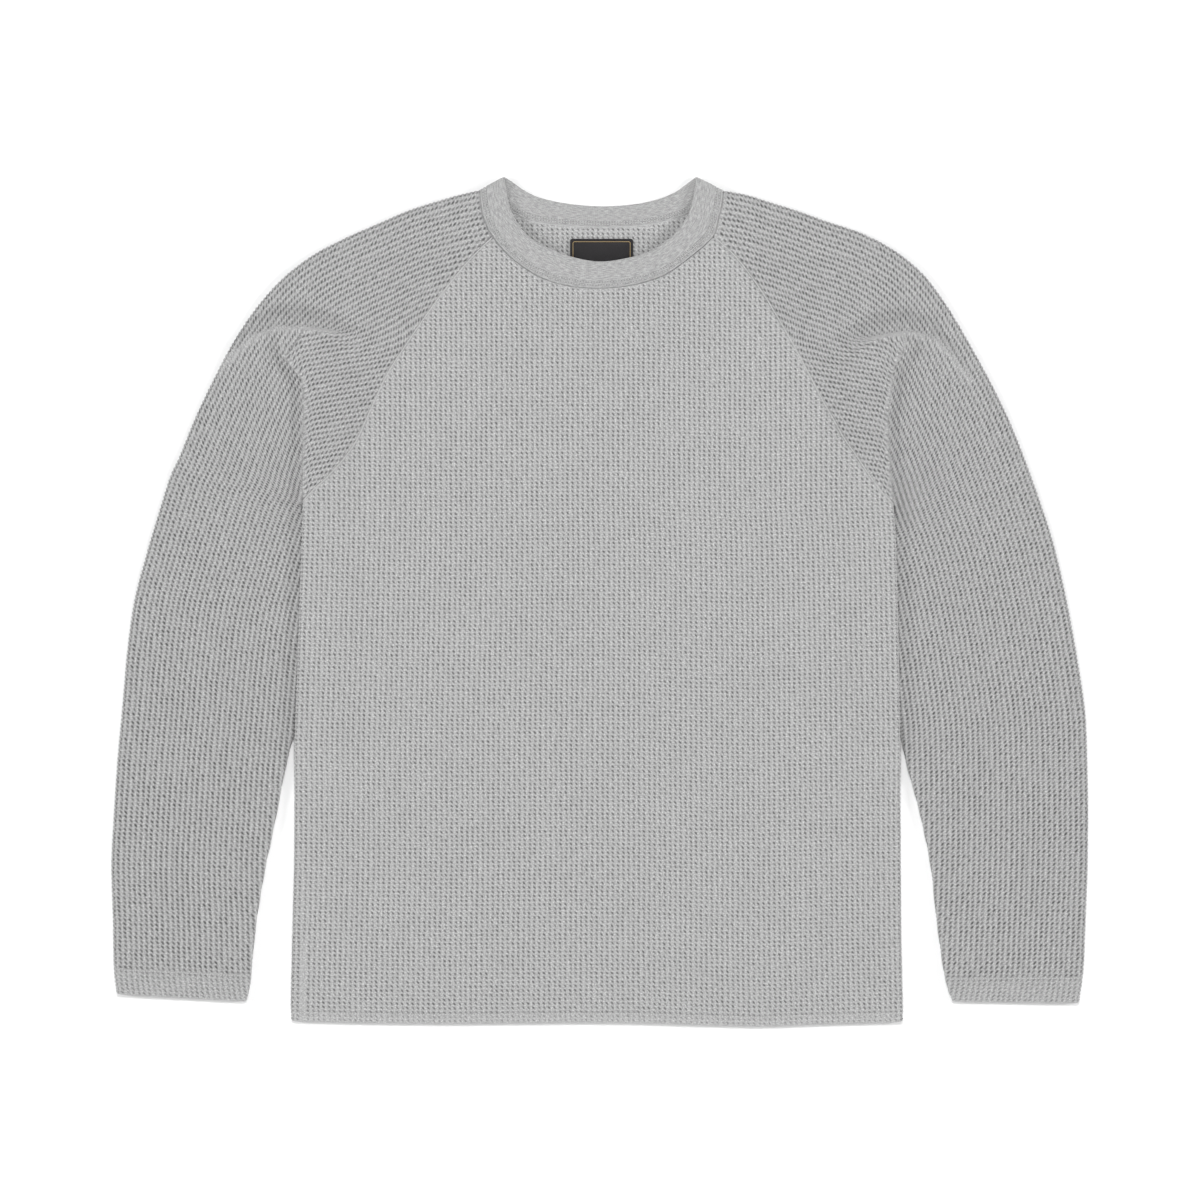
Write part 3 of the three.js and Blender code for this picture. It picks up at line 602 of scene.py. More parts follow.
# -------- Sleeve lines
class Sleeve:
    """The sleeve's sections as smooth curves of the row position."""

    def __init__(self, side):
        self.side = side
        rows = side.sections
        last = self.last = len(rows) - 1
        self.paths, self.inner_rows = {}, {}
        for layer, table in BANDS.items():
            if side.sign < 0:
                path, fold = neck_path(layer, 0, CORNERS[layer][0], 24)[::-1].copy(), table[0]
            else:
                path, fold = neck_path(layer, CORNERS[layer][1], len(table) - 1, 24), table[-1]
            off = fold[:2] - fold[2:]
            path[-1] = fold[:2] + off * 1.5 * SEAM_GAP / np.hypot(*off)
            self.paths[layer] = path
            values = rows[:, 2:4].copy()
            if layer == "back":
                up = np.clip((np.arange(last + 1) - FIRST_OPEN) / (last - FIRST_OPEN), 0, 1) ** 2
                values[:, 0] -= side.sign * BACK_RISE[0] * up
                values[:, 1] += BACK_RISE[1] * up
            values[last] = path[0]
            self.inner_rows[layer] = values
        self.outer_rows = rows[:, :2].copy()
        self.outer_rows[last] = self.paths["front"][-1]

    def outer(self, position):
        return curve_xy(self.outer_rows, position)

    def inner(self, layer, position):
        return curve_xy(self.inner_rows[layer], position)

    def plan(self, layer, position, share):
        """Points of a section by their share of the way from its inner end to its outer one."""
        position = np.array(float(position))
        start, end = self.inner(layer, position), self.outer(position)
        points = start + (end - start) * share[:, None]
        bow = np.interp(position, [self.last - 3, self.last - 2, self.last - 1, self.last],
                        [0, 0.2, 0.5, 1])
        if bow > 0:
            path = self.paths[layer]
            chord = path[-1] - path[0]
            along = (path - path[0]) @ chord / (chord @ chord)
            seam = np.stack([np.interp(share, along, path[:, k]) for k in (0, 1)], axis=1)
            points = points + bow * (seam - path[0] - chord * share[:, None])
        return points


SLEEVES = {-1: Sleeve(RIGHT), 1: Sleeve(LEFT)}


# -------- Body panels
def panel_path(layer):
    """The panel's upper edge, from the wearer's right underarm over the neck to the left one."""
    position = np.arange(FIRST_OPEN, SLEEVES[1].last + 0.01, 0.25)
    right = shift_path(SLEEVES[-1].inner(layer, position), SEAM_GAP)
    left = shift_path(SLEEVES[1].inner(layer, position), -SEAM_GAP)[::-1]
    start, end = CORNERS[layer]
    neck = neck_path(layer, start, end, 8 * (end - start))[1:-1]
    return right, neck, left


def laid_edge(s, wall):
    """How far the cloth has turned at a laid edge, s along it, and how far in from the edge it is."""
    turn = np.clip(1 - s / EDGE_ARC, 0, 1) * QUARTER
    return turn, EDGE_RADIUS - (EDGE_RADIUS - wall) * np.sin(turn) + np.maximum(0, s - EDGE_ARC)


def corner_lift(from_edge, from_end):
    """How far a point at a corner moves in from the end to round the corner off."""
    into = max(0.0, CORNER - from_edge)
    lift = CORNER - math.sqrt(max(0.0, CORNER**2 - into**2))
    return 0.62 * lift * np.clip(1 - from_end / (2.2 * CORNER), 0, 1) ** 2


def panel_skin(layer, path, wall, columns, rows, spacing, course):
    """One face of a panel: columns and rows are the numbers of the lines of points to keep."""
    low, high = path[0, 0], path[-1, 0]
    underarm = min(path[0, 1], path[-1, 1])
    outward = OUTWARD[layer]
    total = columns[-1] * spacing
    lines, cloth = [], []
    for column in columns:
        from_left = column * spacing
        s = min(from_left, total - from_left)
        turn, reach = laid_edge(s, wall)
        x_under = low + reach if from_left <= total / 2 else high - reach
        share = (x_under - low) / (high - low)
        top_y = np.interp(x_under, path[:, 0], path[:, 1])
        hem = hem_y(x_under)
        v = rows[hem + rows * course < top_y - 0.4 * course]
        v = np.append(v, (top_y - hem) / course)
        y = hem + v * course
        level = np.minimum(y, underarm)
        low_shift = RIGHT.edge_x(level) - RIGHT.edge_x(underarm)
        high_shift = LEFT.edge_x(level) - LEFT.edge_x(underarm)
        x = x_under + low_shift * (1 - share) + high_shift * share
        x = x + np.sign(x_under) * EDGE_BEADS * np.cos(2 * np.pi * v / 2) * math.sin(turn)
        top = flat_top(x, y) + pile(x, y) + crest(x, y)
        bottom = pile(x, y)
        if layer == "front":
            top = top + creases(BODY_CREASES, x, y) + swell(x, y)
        from_hem = y - hem
        y = y + corner_lift(s, from_hem)
        thick = HEM_EXTRA * (1 - smooth(HEM_DEPTH - 0.8, HEM_DEPTH + 0.4, from_hem))
        middle = (top + bottom) / 2
        seam = middle + outward * SEAM_GAP / 2
        face = top if layer == "front" else bottom
        if wall == 0:
            rounded = 0.8 * (1 - smooth(0, 2.2, from_hem))
            face = face + outward * (thick if layer == "front" else 0) - outward * rounded
        face = face - outward * wall
        z = seam + (face - seam) * math.cos(turn)
        lines.append(np.stack([x, y, z], axis=1))
        cloth.append(np.stack([0 * v + column / 2, v / 2], axis=1))
    return Skin(lines, cloth, up=outward if wall == 0 else -outward)


def add_relief(skin, depth, fade, merge=0.0):
    """Sinks the pits of the waffle, less where fade is small, and keeps how open they are, which also
    sets how much painted shade the material puts in them.
    """
    skin.open = fade
    sunk = depth * pits(skin.cloth, merge) * fade
    skin.points = skin.points - skin.normals() * sunk[:, None]


def panel(layer, name, material):
    right, neck, left = panel_path(layer)
    path = np.concatenate([right, neck, left])
    width = path[-1, 0] - path[0, 0]
    total = width - 2 * EDGE_RADIUS + 2 * EDGE_ARC
    count = 2 * round(total / RIB)
    spacing, course = total / count, COURSE / 2
    columns, rows = np.arange(count + 1), np.arange(MOST_ROWS)
    outer = panel_skin(layer, path, 0, columns, rows, spacing, course)
    x, y = outer.points[:, 0], outer.points[:, 1]
    to_raglan = np.minimum(from_path(x, y, right[::2]), from_path(x, y, left[::2]))
    to_neck = from_path(x, y, neck[::2])
    to_seam = np.minimum(to_raglan, to_neck)
    from_hem = y - hem_y(x)
    hem_line = bump_at(from_hem - HEM_DEPTH + 0.6, LINE_WIDTH)
    fade = smooth(0.4, 1.9, to_seam) * smooth(0.3, 1.6, from_hem) * (1 - 0.5 * hem_line)
    fade = fade * (1 - 0.28 * (1 - smooth(HEM_DEPTH - 2, HEM_DEPTH, from_hem)))
    fade = fade * (1 - 0.5 * bump_at(crest(x, y, part=1), 5))
    if layer == "front":
        outer.points[:, 2] += seam_ridge(to_raglan)
        outer.points[:, 2] -= 0.3 * hem_line + 0.2 * bump_at(to_neck, 1.2)
        to_side = from_path(x, y, SIDE_SEAM)
        side_groove = 0.35 * bump_at(to_side - 1.6, 1.0) - 0.9 * bump_at(to_side, 0.9)
        outer.points[:, 2] += side_groove * smooth(-205, -260, y)
        fade = fade * (1 - smooth(1.2, 0.4, to_side) * smooth(-205, -260, y))
    add_relief(outer, PIT_DEPTH, fade)
    if layer == "front":
        inner_columns, inner_rows = keep(columns, lambda c: c % 2 == 0), rows[::2]
    else:
        middle = count / 2
        shown = SHOWN_REACH / spacing
        inner_columns = keep(columns, lambda c: c % 3 == 0 or abs(c - middle) < shown)
        first_shown = int((SHOWN_FROM - HEM_LEVEL) / course)
        inner_rows = keep(rows, lambda r: r % 3 == 0 or r > first_shown)
    inner = panel_skin(layer, path, WALL, inner_columns, inner_rows, spacing, course)
    if layer == "back":
        x, y = inner.points[:, 0], inner.points[:, 1]
        shown = smooth(SHOWN_REACH + 6, SHOWN_REACH - 4, np.abs(x))
        shown = shown * smooth(SHOWN_FROM - 2, SHOWN_FROM + 6, y)
        shown = shown * smooth(0.4, 1.9, from_path(x, y, neck[::2]))
        add_relief(inner, PIT_DEPTH * 0.9, shown)
    shell = Shell()
    a, b = shell.add_cloth(outer, inner)
    shell.rim(outer.starts + a, inner.starts + b)
    shell.rim(outer.ends + a, inner.ends + b)
    return shell.object(name, material)


def keep(numbers, wanted):
    last = numbers[-1]
    return np.array([n for n in numbers if wanted(n) or n == last])


# -------- Sleeves
def along_outer(sleeve, fine):
    """Row positions of the sections and their places along the outer edge, in courses."""
    dense = np.linspace(0, sleeve.last, 4001)
    arc = arc_lengths(sleeve.outer(dense))
    pitch = COURSE / 2
    base = np.arange(0, arc[-1] - 0.4 * pitch, pitch)
    if fine:
        start, end = np.interp([FINE_FROM, FINE_TO], dense, arc)
        between = base[:-1] + pitch / 2
        between = between[(between > start) & (between < end)]
        base = np.sort(np.concatenate([base, between]))
    base = np.append(base, arc[-1])
    return np.interp(base, arc, dense), base


def section_arcs(total, fine, step):
    """Places of a section's points by length of cloth from the outer edge."""
    if fine:
        coarse = np.arange(0, min(FINE_DEPTH, total), SLEEVE_RIB / 2)
        rest = np.arange(FINE_DEPTH, total, SLEEVE_RIB / 4)
        arcs = np.concatenate([coarse, rest])
    else:
        arcs = np.arange(0, total, step)
    arcs = arcs[arcs < total - 0.35 * step]
    return np.append(arcs, total)


def fold_valleys(side, x, y, inside):
    """The sleeve sinks a little along the foot of the fold over the armpit."""
    near_lip = smooth(92, 170, y) * (1 - smooth(222, 236, y))
    beside_lip = LIP_VALLEY * near_lip * bump_at(inside + 5, 9)
    above = y - side.crest_y(x)
    strength = smooth(345, 310, np.abs(x)) * smooth(190, 235, np.abs(x))
    beyond_crest = CREST_VALLEY * strength * bump_at(above - 12, 8)
    return beside_lip + beyond_crest


def sleeve_skin(sleeve, layer, wall, positions, arcs, fine, step):
    side = sleeve.side
    outward = OUTWARD[layer]
    lines, cloth, inner_gap = [], [], []
    cuff = sleeve.outer(np.array(0.0))
    for position, arc in zip(positions, arcs):
        is_open = position >= FIRST_OPEN
        where = np.array(float(position))
        outer, inner = sleeve.outer(where), sleeve.inner(layer, where)
        width = np.hypot(*(outer - inner))
        turned = 1 if is_open else 2
        total = width - turned * EDGE_RADIUS + turned * EDGE_ARC
        s = section_arcs(total, fine, step)
        turn, reach = laid_edge(s, wall)
        if not is_open:
            left_over = total - s
            turn_in, near_in = laid_edge(left_over, wall)
            reach = np.where(left_over < EDGE_ARC, width - near_in, reach)
            turn = np.maximum(turn, turn_in)
        near_edge = np.sin(turn) * (s < EDGE_ARC)
        reach = reach - EDGE_BEADS * np.cos(2 * np.pi * arc / COURSE) * near_edge
        share = 1 - reach / width
        xy = sleeve.plan(layer, position, share)
        x, y = xy[:, 0], xy[:, 1]
        inside = side.inside(x, y)
        height, _ = crest_of(side, x, y)
        top = flat_top(x, y)
        bottom = np.zeros_like(x)
        if is_open:
            over = np.where(y < side.crest_y(x), smooth(-9, 3, inside), 1)
            height = height * (CREST_OUTSIDE + (1 - CREST_OUTSIDE) * over)
            top = top + pile_of(side, x, y) * smooth(-LIP_OUT, LIP_IN, inside) + height
            bottom = pile_of(side, x, y) * smooth(0, 10, inside)
        middle = (top + bottom) / 2
        if layer == "front":
            top = top + creases(SLEEVE_CREASES, x, y) * smooth(1, -6, inside) + swell(x, y)
            top = top - fold_valleys(side, x, y, inside)
        from_cuff = np.hypot(*(outer - cuff))
        thick = CUFF_EXTRA * (1 - smooth(CUFF_DEPTH - 1.5, CUFF_DEPTH + 1, from_cuff))
        if from_cuff < 3 * CORNER:
            lengthways = sleeve.outer(np.array(0.3)) - cuff
            lengthways = lengthways / np.hypot(*lengthways)
            edge = np.minimum(s, total - s)
            lift = np.array([corner_lift(e, from_cuff) for e in edge])
            x, y = x + lengthways[0] * lift, y + lengthways[1] * lift
        rounded = 0.8 * (1 - smooth(0, 2.2, from_cuff)) if wall == 0 else 0
        if layer == "front":
            top = top + thick
        inset = wall + (thick if wall > 0 else 0) + rounded
        if wall > 0 and is_open and layer == "front":
            at_lip = pile_of(side, x, y) / PILE * bump_at(inside - 0.5, 6)
            inset = inset + INNER_EASE * at_lip + 0.5 * INNER_EASE * np.clip(height / 4, 0, 1)
        reach_up = top - middle if layer == "front" else middle - bottom
        least = -INNER_DIP if wall > 0 and layer == "front" else LEAST_GAP / 2
        half = np.maximum(reach_up - inset, least)
        z = middle + outward * half * np.cos(turn)
        lines.append(np.stack([x, y, z], axis=1))
        cloth.append(np.stack([s / SLEEVE_RIB, 0 * s + arc / COURSE], axis=1))
        inner_gap.append(width - reach if is_open else 0 * s + NO_SEAM)
    skin = Skin(lines, cloth, up=outward if wall == 0 else -outward)
    skin.inner_gap = np.concatenate(inner_gap)
    return skin


def flap_cloth(side, x, y):
    """Place in the knit on the fold over the armpit, where the ribs run nearly level."""
    near = FLAP_BEND_NEAR + 14 * smooth(185, 230, y)
    bent = y + FLAP_BEND / near * np.maximum(0, near - side.inside(x, y)) ** 2
    to_neck = -side.sign * x
    down = to_neck * math.sin(FLAP_SLOPE) - bent * math.cos(FLAP_SLOPE)
    along = to_neck * math.cos(FLAP_SLOPE) + bent * math.sin(FLAP_SLOPE)
    return np.stack([down / FLAP_RIB, along / COURSE], axis=1)


def join_flap(side, skin, x, y):
    """The cap's knit above the fold's crest and the flap's below it, made level where they meet."""
    flap = flap_cloth(side, x, y)
    meet = np.argmin(np.hypot(x - side.sign * FLAP_MEETS[0], y - FLAP_MEETS[1]))
    flap += skin.cloth[meet] - flap[meet]
    reach = 1.5 + 24 * smooth(246, 200, np.abs(x))
    below = smooth(-reach, reach, side.crest_y(x) - y)
    share = np.where(side.inside(x, y) > -0.5, below, 0)
    share = np.where(skin.inner_gap < SEAM_REACH, share, 0)[:, None]
    return skin.cloth * (1 - share) + flap * share


def lean_folds(side, skin):
    """Rolls the lip of the fold out over the sleeve below it, and its crest over the cap."""
    x, y = skin.points[:, 0].copy(), skin.points[:, 1].copy()
    rise, from_crest = crest_of(side, x, y)
    t = smooth(-LIP_OUT, LIP_IN, side.inside(x, y))
    strength = np.where(skin.inner_gap < SEAM_REACH, pile_of(side, x, y) / PILE, 0)
    skin.points[:, 0] -= side.sign * LIP_ROLL * np.sin(2 * np.pi * t) * strength
    lean = CREST_LEAN * smooth(0.5, 5, rise) * np.where(y > side.crest_y(x) - 3, 1, 0)
    skin.points[:, 1] += lean * bump_at(from_crest, 4)


def front_details(side, outer, from_cuff, fade):
    """The fold, its lip and the cuff's seam on the front of a sleeve; returns the fade there."""
    x, y = outer.points[:, 0].copy(), outer.points[:, 1].copy()
    inside = side.inside(x, y)
    _, from_crest = crest_of(side, x, y)
    open_part = outer.inner_gap < SEAM_REACH
    outer.cloth = join_flap(side, outer, x, y)
    ridge_end = smooth(215, 250, np.abs(x)) * smooth(345, 325, np.abs(x))
    fade = fade * (1 - 0.75 * ridge_end * bump_at(from_crest, 2.6))
    lip = open_part & (y < side.crest_y(x) + 8)
    at_lip = np.where(lip, bump_at(inside - 0.2, 2.0), 0)
    fade = fade * (1 - 0.85 * at_lip)
    outer.points[:, 2] += seam_ridge(outer.inner_gap)
    outer.points[:, 2] -= 0.45 * bump_at(from_cuff - CUFF_DEPTH, LINE_WIDTH)
    lean_folds(side, outer)
    return fade


def tie(front, back, same, closed):
    """Ends the back half exactly where the front half does, at the outer edge and the inner fold."""
    back.points[back.starts] = front.points[front.starts[same]]
    back.points[back.ends[closed]] = front.points[front.ends[same[closed]]]


def sleeve(sign, name, material):
    shape = SLEEVES[sign]
    side = shape.side
    rows = {"front": along_outer(shape, fine=True), "back": along_outer(shape, fine=False)}
    plain = rows["back"][0]
    number = np.arange(len(plain))
    in_fold = (plain > FINE_FROM) & (plain < FINE_TO)
    sparse = number[(number % 4 == 0) | (in_fold & (number % 2 == 0)) | (number == number[-1])]
    coarse = [values[sparse] for values in rows["back"]]
    skins = {}
    for layer, (positions, arcs) in rows.items():
        fine = layer == "front"
        outer = sleeve_skin(shape, layer, 0, positions, arcs, fine, SLEEVE_RIB / 2)
        from_cuff = np.repeat(arcs, outer.ends - outer.starts + 1)
        cuff_line = bump_at(from_cuff - CUFF_DEPTH, LINE_WIDTH)
        fade = smooth(0.4, 1.9, outer.inner_gap) * smooth(0.3, 1.6, from_cuff)
        fade = fade * smooth(0.3, 1.8, arcs[-1] - from_cuff) * (1 - 0.6 * cuff_line)
        fade = fade * (1 - 0.32 * (1 - smooth(CUFF_DEPTH - 2, CUFF_DEPTH, from_cuff)))
        if layer == "front":
            fade = front_details(side, outer, from_cuff, fade)
        add_relief(outer, PIT_DEPTH, fade, merge=SLEEVE_MERGE)
        inner = sleeve_skin(shape, layer, WALL, *coarse, False, SLEEVE_RIB)
        if layer == "front":
            lean_folds(side, inner)
        skins[layer] = (outer, inner)
    same = np.searchsorted(rows["front"][0], rows["back"][0])
    closed = rows["back"][0] < FIRST_OPEN
    tie(skins["front"][0], skins["back"][0], same, closed)
    tie(skins["front"][1], skins["back"][1], np.arange(len(sparse)), coarse[0] < FIRST_OPEN)

    shell = Shell()
    last = int(np.flatnonzero(closed)[-1])
    last_coarse = int(np.flatnonzero(coarse[0] < FIRST_OPEN)[-1])
    edges, folds = [], []
    for layer, last_closed in (("front", same[last]), ("back", last)):
        outer, inner = skins[layer]
        a, b = shell.add_cloth(outer, inner)
        shell.rim(outer.ends[last_closed:] + a, inner.ends[last_coarse:] + b)
        edges.append(outer.starts + a)
        folds.append(outer.ends[: last_closed + 1] + a)
    shell.rim(*edges)
    shell.rim(*folds)
    return shell.object(name, material)


# -------- Neckband
def band_profile():
    """Places round the band's section: share of the width, depth below its outer face."""
    places = [(at, 0.0) for at in np.linspace(0.0, 1 - BAND_ROUND, 29)]
    for angle in np.linspace(0, math.pi, 9)[1:-1]:
        at = 1 - BAND_ROUND + BAND_ROUND * math.sin(angle)
        places.append((at, BAND_WALL / 2 * (1 - math.cos(angle))))
    return places + [(at, BAND_WALL) for at in np.linspace(1 - BAND_ROUND, 0.0, 29)]


def turn_position(table, first_end, reach):
    """Row position at a distance from the fold over a shoulder."""
    outer, inner = (table[0], table[1]) if first_end else (table[-1], table[-2])
    span = math.hypot(inner[0] - outer[0], inner[1] - outer[1])
    return reach / span if first_end else len(table) - 1 - reach / span


def band_plan(table, position, at):
    seam_x, seam_y, free_x, free_y = (curve(table[:, k], np.array(float(position))) for k in range(4))
    return np.array([seam_x + (free_x - seam_x) * at, seam_y + (free_y - seam_y) * at])


def band_point(station, at, depth):
    layer, position, first_end, turn = station
    table, outward = BANDS[layer], OUTWARD[layer]
    if position is None:
        reach = BAND_RADIUS - (BAND_RADIUS - depth) * math.sin(turn)
        position = turn_position(table, first_end, reach)
        xy = band_plan(table, position, at)
        other = BANDS["back" if layer == "front" else "front"]
        pair = band_plan(other, turn_position(other, first_end, reach), at)
        share = 0.5 * float(smooth(QUARTER * 0.6, QUARTER, turn))
        xy = xy * (1 - share) + pair * share
    else:
        xy = band_plan(table, position, at)
    from_shoulder = min(position, len(table) - 1 - position)
    lift = BAND_LIFT * at * float(smooth(0.5, 4, from_shoulder)) if layer == "front" else 0
    level = max(BAND_MIDDLE + outward * lift - depth, LEAST_GAP / 2)
    return np.array([xy[0], xy[1], BAND_MIDDLE + outward * level * math.cos(turn)])


def band_half(layer):
    table = BANDS[layer]
    ends = [turn_position(table, first_end, BAND_RADIUS) for first_end in (True, False)]
    dense = np.linspace(*ends, 400)
    arc = arc_lengths(curve_xy(table, dense))
    count = int(arc[-1] / BAND_STEP)
    position = np.interp(np.linspace(0, arc[-1], count + 1), arc, dense)
    turns = np.linspace(QUARTER, 0, 7)[:-1]
    start = [(layer, None, True, turn) for turn in turns]
    flat = [(layer, p, None, 0.0) for p in position]
    end = [(layer, None, False, turn) for turn in turns[::-1]]
    return start + flat + end


def neckband(name, material):
    front, back = band_half("front"), band_half("back")[::-1]
    stations = front + back[1:-1]
    profile = band_profile()
    grid = np.array([[band_point(station, at, depth) for at, depth in profile] for station in stations])
    rows, columns = grid.shape[:2]
    across = np.roll(grid, -1, axis=1) - np.roll(grid, 1, axis=1)
    along = np.roll(grid, -1, axis=0) - np.roll(grid, 1, axis=0)
    normal = unit(np.cross(along, across))
    normal *= 1 if normal[rows // 4, 8, 2] > 0 else -1
    at = np.array([place[0] for place in profile])
    sewn = sum(bump_at(at - row, 0.026) for row in TOPSTITCH_AT)
    rib = 0.05 * np.sin(np.arange(rows) * 2 * math.pi / 2.0)[:, None]
    puff = 0.22 * bump_at(at - 0.17, 0.03) + 0.18 * np.sin(np.pi * np.clip(at, 0, 1))
    dip = 0.75 * sewn - puff + 0.2 * bump_at(at, 0.03)
    grid = grid - normal * (dip + rib)[:, :, None]
    faces = ring_faces(rows, columns, last_row=True)
    length = arc_lengths(grid[:, 14])
    cloth = np.stack(np.broadcast_arrays(at[None, :] * BAND_WIDTH, length[:, None]), axis=2)
    return small_object(name, grid, faces, cloth, material)


# -------- Stitches
def stitches(name, paths, material):
    """Short rounded stitches of thread along paths of points that lie on the cloth."""
    points, faces, cloth = [], [], []
    tube = tube_faces(len(STITCH_RINGS), STITCH_SIDES)
    shares = np.arange(STITCH_SIDES) / STITCH_SIDES
    angles = (2 * math.pi * shares)[:, None]
    for path in paths:
        arc = arc_lengths(path)
        count = int(arc[-1] / STITCH_PITCH)
        for i in range(count):
            middle = (i + 0.5) * arc[-1] / count + rng.normal(0, 0.06)
            spot, ahead = at_lengths(middle, arc, path), at_lengths(middle + 0.5, arc, path)
            direction = unit(ahead - spot)
            side = unit(np.cross((0, 0, 1), direction))
            up = np.cross(direction, side)
            across = side * np.cos(angles) + up * np.sin(angles) * 0.8
            faces += [[len(points) + k for k in face] for face in tube]
            for share, size, lift in STITCH_RINGS:
                centre = spot + direction * share * STITCH_LENGTH + up * lift * STITCH_RADIUS
                points += list(centre + across * STITCH_RADIUS * size)
                cloth += [(turn * 2, share * STITCH_LENGTH + i) for turn in shares]
    return small_object(name, points, faces, cloth, material)


def seam_strip(name, path, material):
    """A narrow rounded strip of overlocked stitches along a seam."""
    arc = arc_lengths(path)
    even = np.linspace(0, arc[-1], int(arc[-1] / 0.8) + 1)
    path = at_lengths(even, arc, path)
    side = unit(np.cross(unit(np.gradient(path, axis=0)), (0, 0, 1)))
    turns = np.linspace(0, 2 * math.pi, 10, endpoint=False)
    knot = 1 + 0.16 * np.sin(even * 2 * math.pi / 2.4)
    ends = np.sqrt(np.clip(np.minimum(even, arc[-1] - even) / 1.5, 0.02, 1))
    size = (knot * ends)[:, None, None]
    across = np.cos(turns)[None, :, None] * side[:, None, :] * SEAM_WIDTH / 2
    upward = np.sin(turns)[None, :, None] * np.array([0, 0, SEAM_HEIGHT])[None, None, :]
    grid = path[:, None, :] + (across + upward) * size
    cloth = np.stack(np.broadcast_arrays(turns[None, :], even[:, None]), axis=2)
    return small_object(name, grid, tube_faces(*grid.shape[:2]), cloth, material)


def raglan_seam_path(sign):
    shape = SLEEVES[sign]
    position = np.linspace(FIRST_OPEN + 0.12, shape.last - 0.03, 200)
    path = shift_path(shape.inner("front", position), -sign * SEAM_GAP / 2)
    x, y = path[:, 0], path[:, 1]
    height = flat_top(x, y) + pile(x, y) + crest(x, y)
    return np.stack([x, y, height - 0.1], axis=1)


def neck_seam_path(layer):
    """The seam where the band is sewn on, seen on the front and inside the back of the neck."""
    end = len(BANDS[layer]) - 1
    path = shift_path(neck_path(layer, 0.35, end - 0.35, 12 * end), -0.15)
    x, y = path[:, 0], path[:, 1]
    height = flat_top(x, y) - 1.3 if layer == "front" else 0 * x + WALL - 0.3
    return np.stack([x, y, height], axis=1)


def neck_stitch_paths():
    paths = []
    for row in TOPSTITCH_AT:
        front = [band_point(s, row, 0.12) for s in band_half("front")[5:-5]]
        back = [band_point(s, row, BAND_WALL - 0.12) for s in band_half("back")[8:-8]]
        paths += [np.array(front), np.array(back)]
    return paths


def hem_stitch_paths():
    x = np.arange(-264, 262, 1.5)
    y = hem_y(x) + (HEM_DEPTH - 1.1)
    return [np.stack([x, y, flat_top(x, y) + HEM_EXTRA - 0.15 + swell(x, y)], axis=1)]


def cuff_stitch_paths(sign):
    shape = SLEEVES[sign]
    position = 0.0
    length = 0.0
    while length < CUFF_DEPTH - 1.2:
        position += 0.01
        length = np.linalg.norm(shape.outer(np.array(position)) - shape.outer(np.array(0.0)))
    share = np.linspace(0.03, 0.97, 90)
    xy = shape.plan("front", position, share)
    x, y = xy[:, 0], xy[:, 1]
    height = flat_top(x, y) + CUFF_EXTRA - 0.1 + swell(x, y) + creases(SLEEVE_CREASES, x, y)
    return [np.stack([x, y, height], axis=1)]


# -------- Label
def label_wave(x, y):
    wave = 0.10 * np.sin(x * 0.21 + 0.8)
    return wave + 0.08 * np.sin(y * 0.33 + x * 0.07)


def label(name, material):
    nx, ny = 56, 36
    u, v = np.meshgrid(np.linspace(-0.5, 0.5, nx + 1), np.linspace(-0.5, 0.5, ny + 1))
    corner = 2.2
    half_x, half_y = LABEL_WIDTH / 2, LABEL_HEIGHT / 2
    x, y = u * LABEL_WIDTH, v * LABEL_HEIGHT
    over = np.maximum(0, np.abs([x, y]) - [[[half_x - corner]], [[half_y - corner]]])
    length = np.hypot(*over)
    squeeze = np.where(length > 0, over.max(axis=0) / np.maximum(length, 1e-9), 1)
    x, y = np.sign([x, y]) * (np.abs([x, y]) - over + over * squeeze)
    edge = np.minimum(half_x - np.abs(x), half_y - np.abs(y))
    wave = label_wave(x, y)
    rounded = 0.35 * (1 - smooth(0, 1.2, edge))
    stitched = 0.22 * bump_at(edge - 1.6, 0.5)
    place_x, place_y = x + LABEL_X, y + LABEL_TOP - half_y
    top = LABEL_BASE + LABEL_THICK - rounded - stitched + wave - LABEL_SINK
    low = LABEL_BASE + 0 * x
    points = [np.stack([place_x, place_y, z], axis=2) for z in (top, low)]
    count = (nx + 1) * (ny + 1)
    index = np.arange(count).reshape(ny + 1, nx + 1)
    quads = sheet_faces(index)
    faces = quads.tolist() + (quads[:, ::-1] + count).tolist()
    ring = np.concatenate([index[0, :], index[1:, -1], index[-1, -2::-1], index[-2:0:-1, 0]])
    after = np.roll(ring, -1)
    faces += np.stack([ring, ring + count, after + count, after], axis=1).tolist()
    return small_object(name, points, faces, [np.stack([x, y], axis=2)] * 2, material)


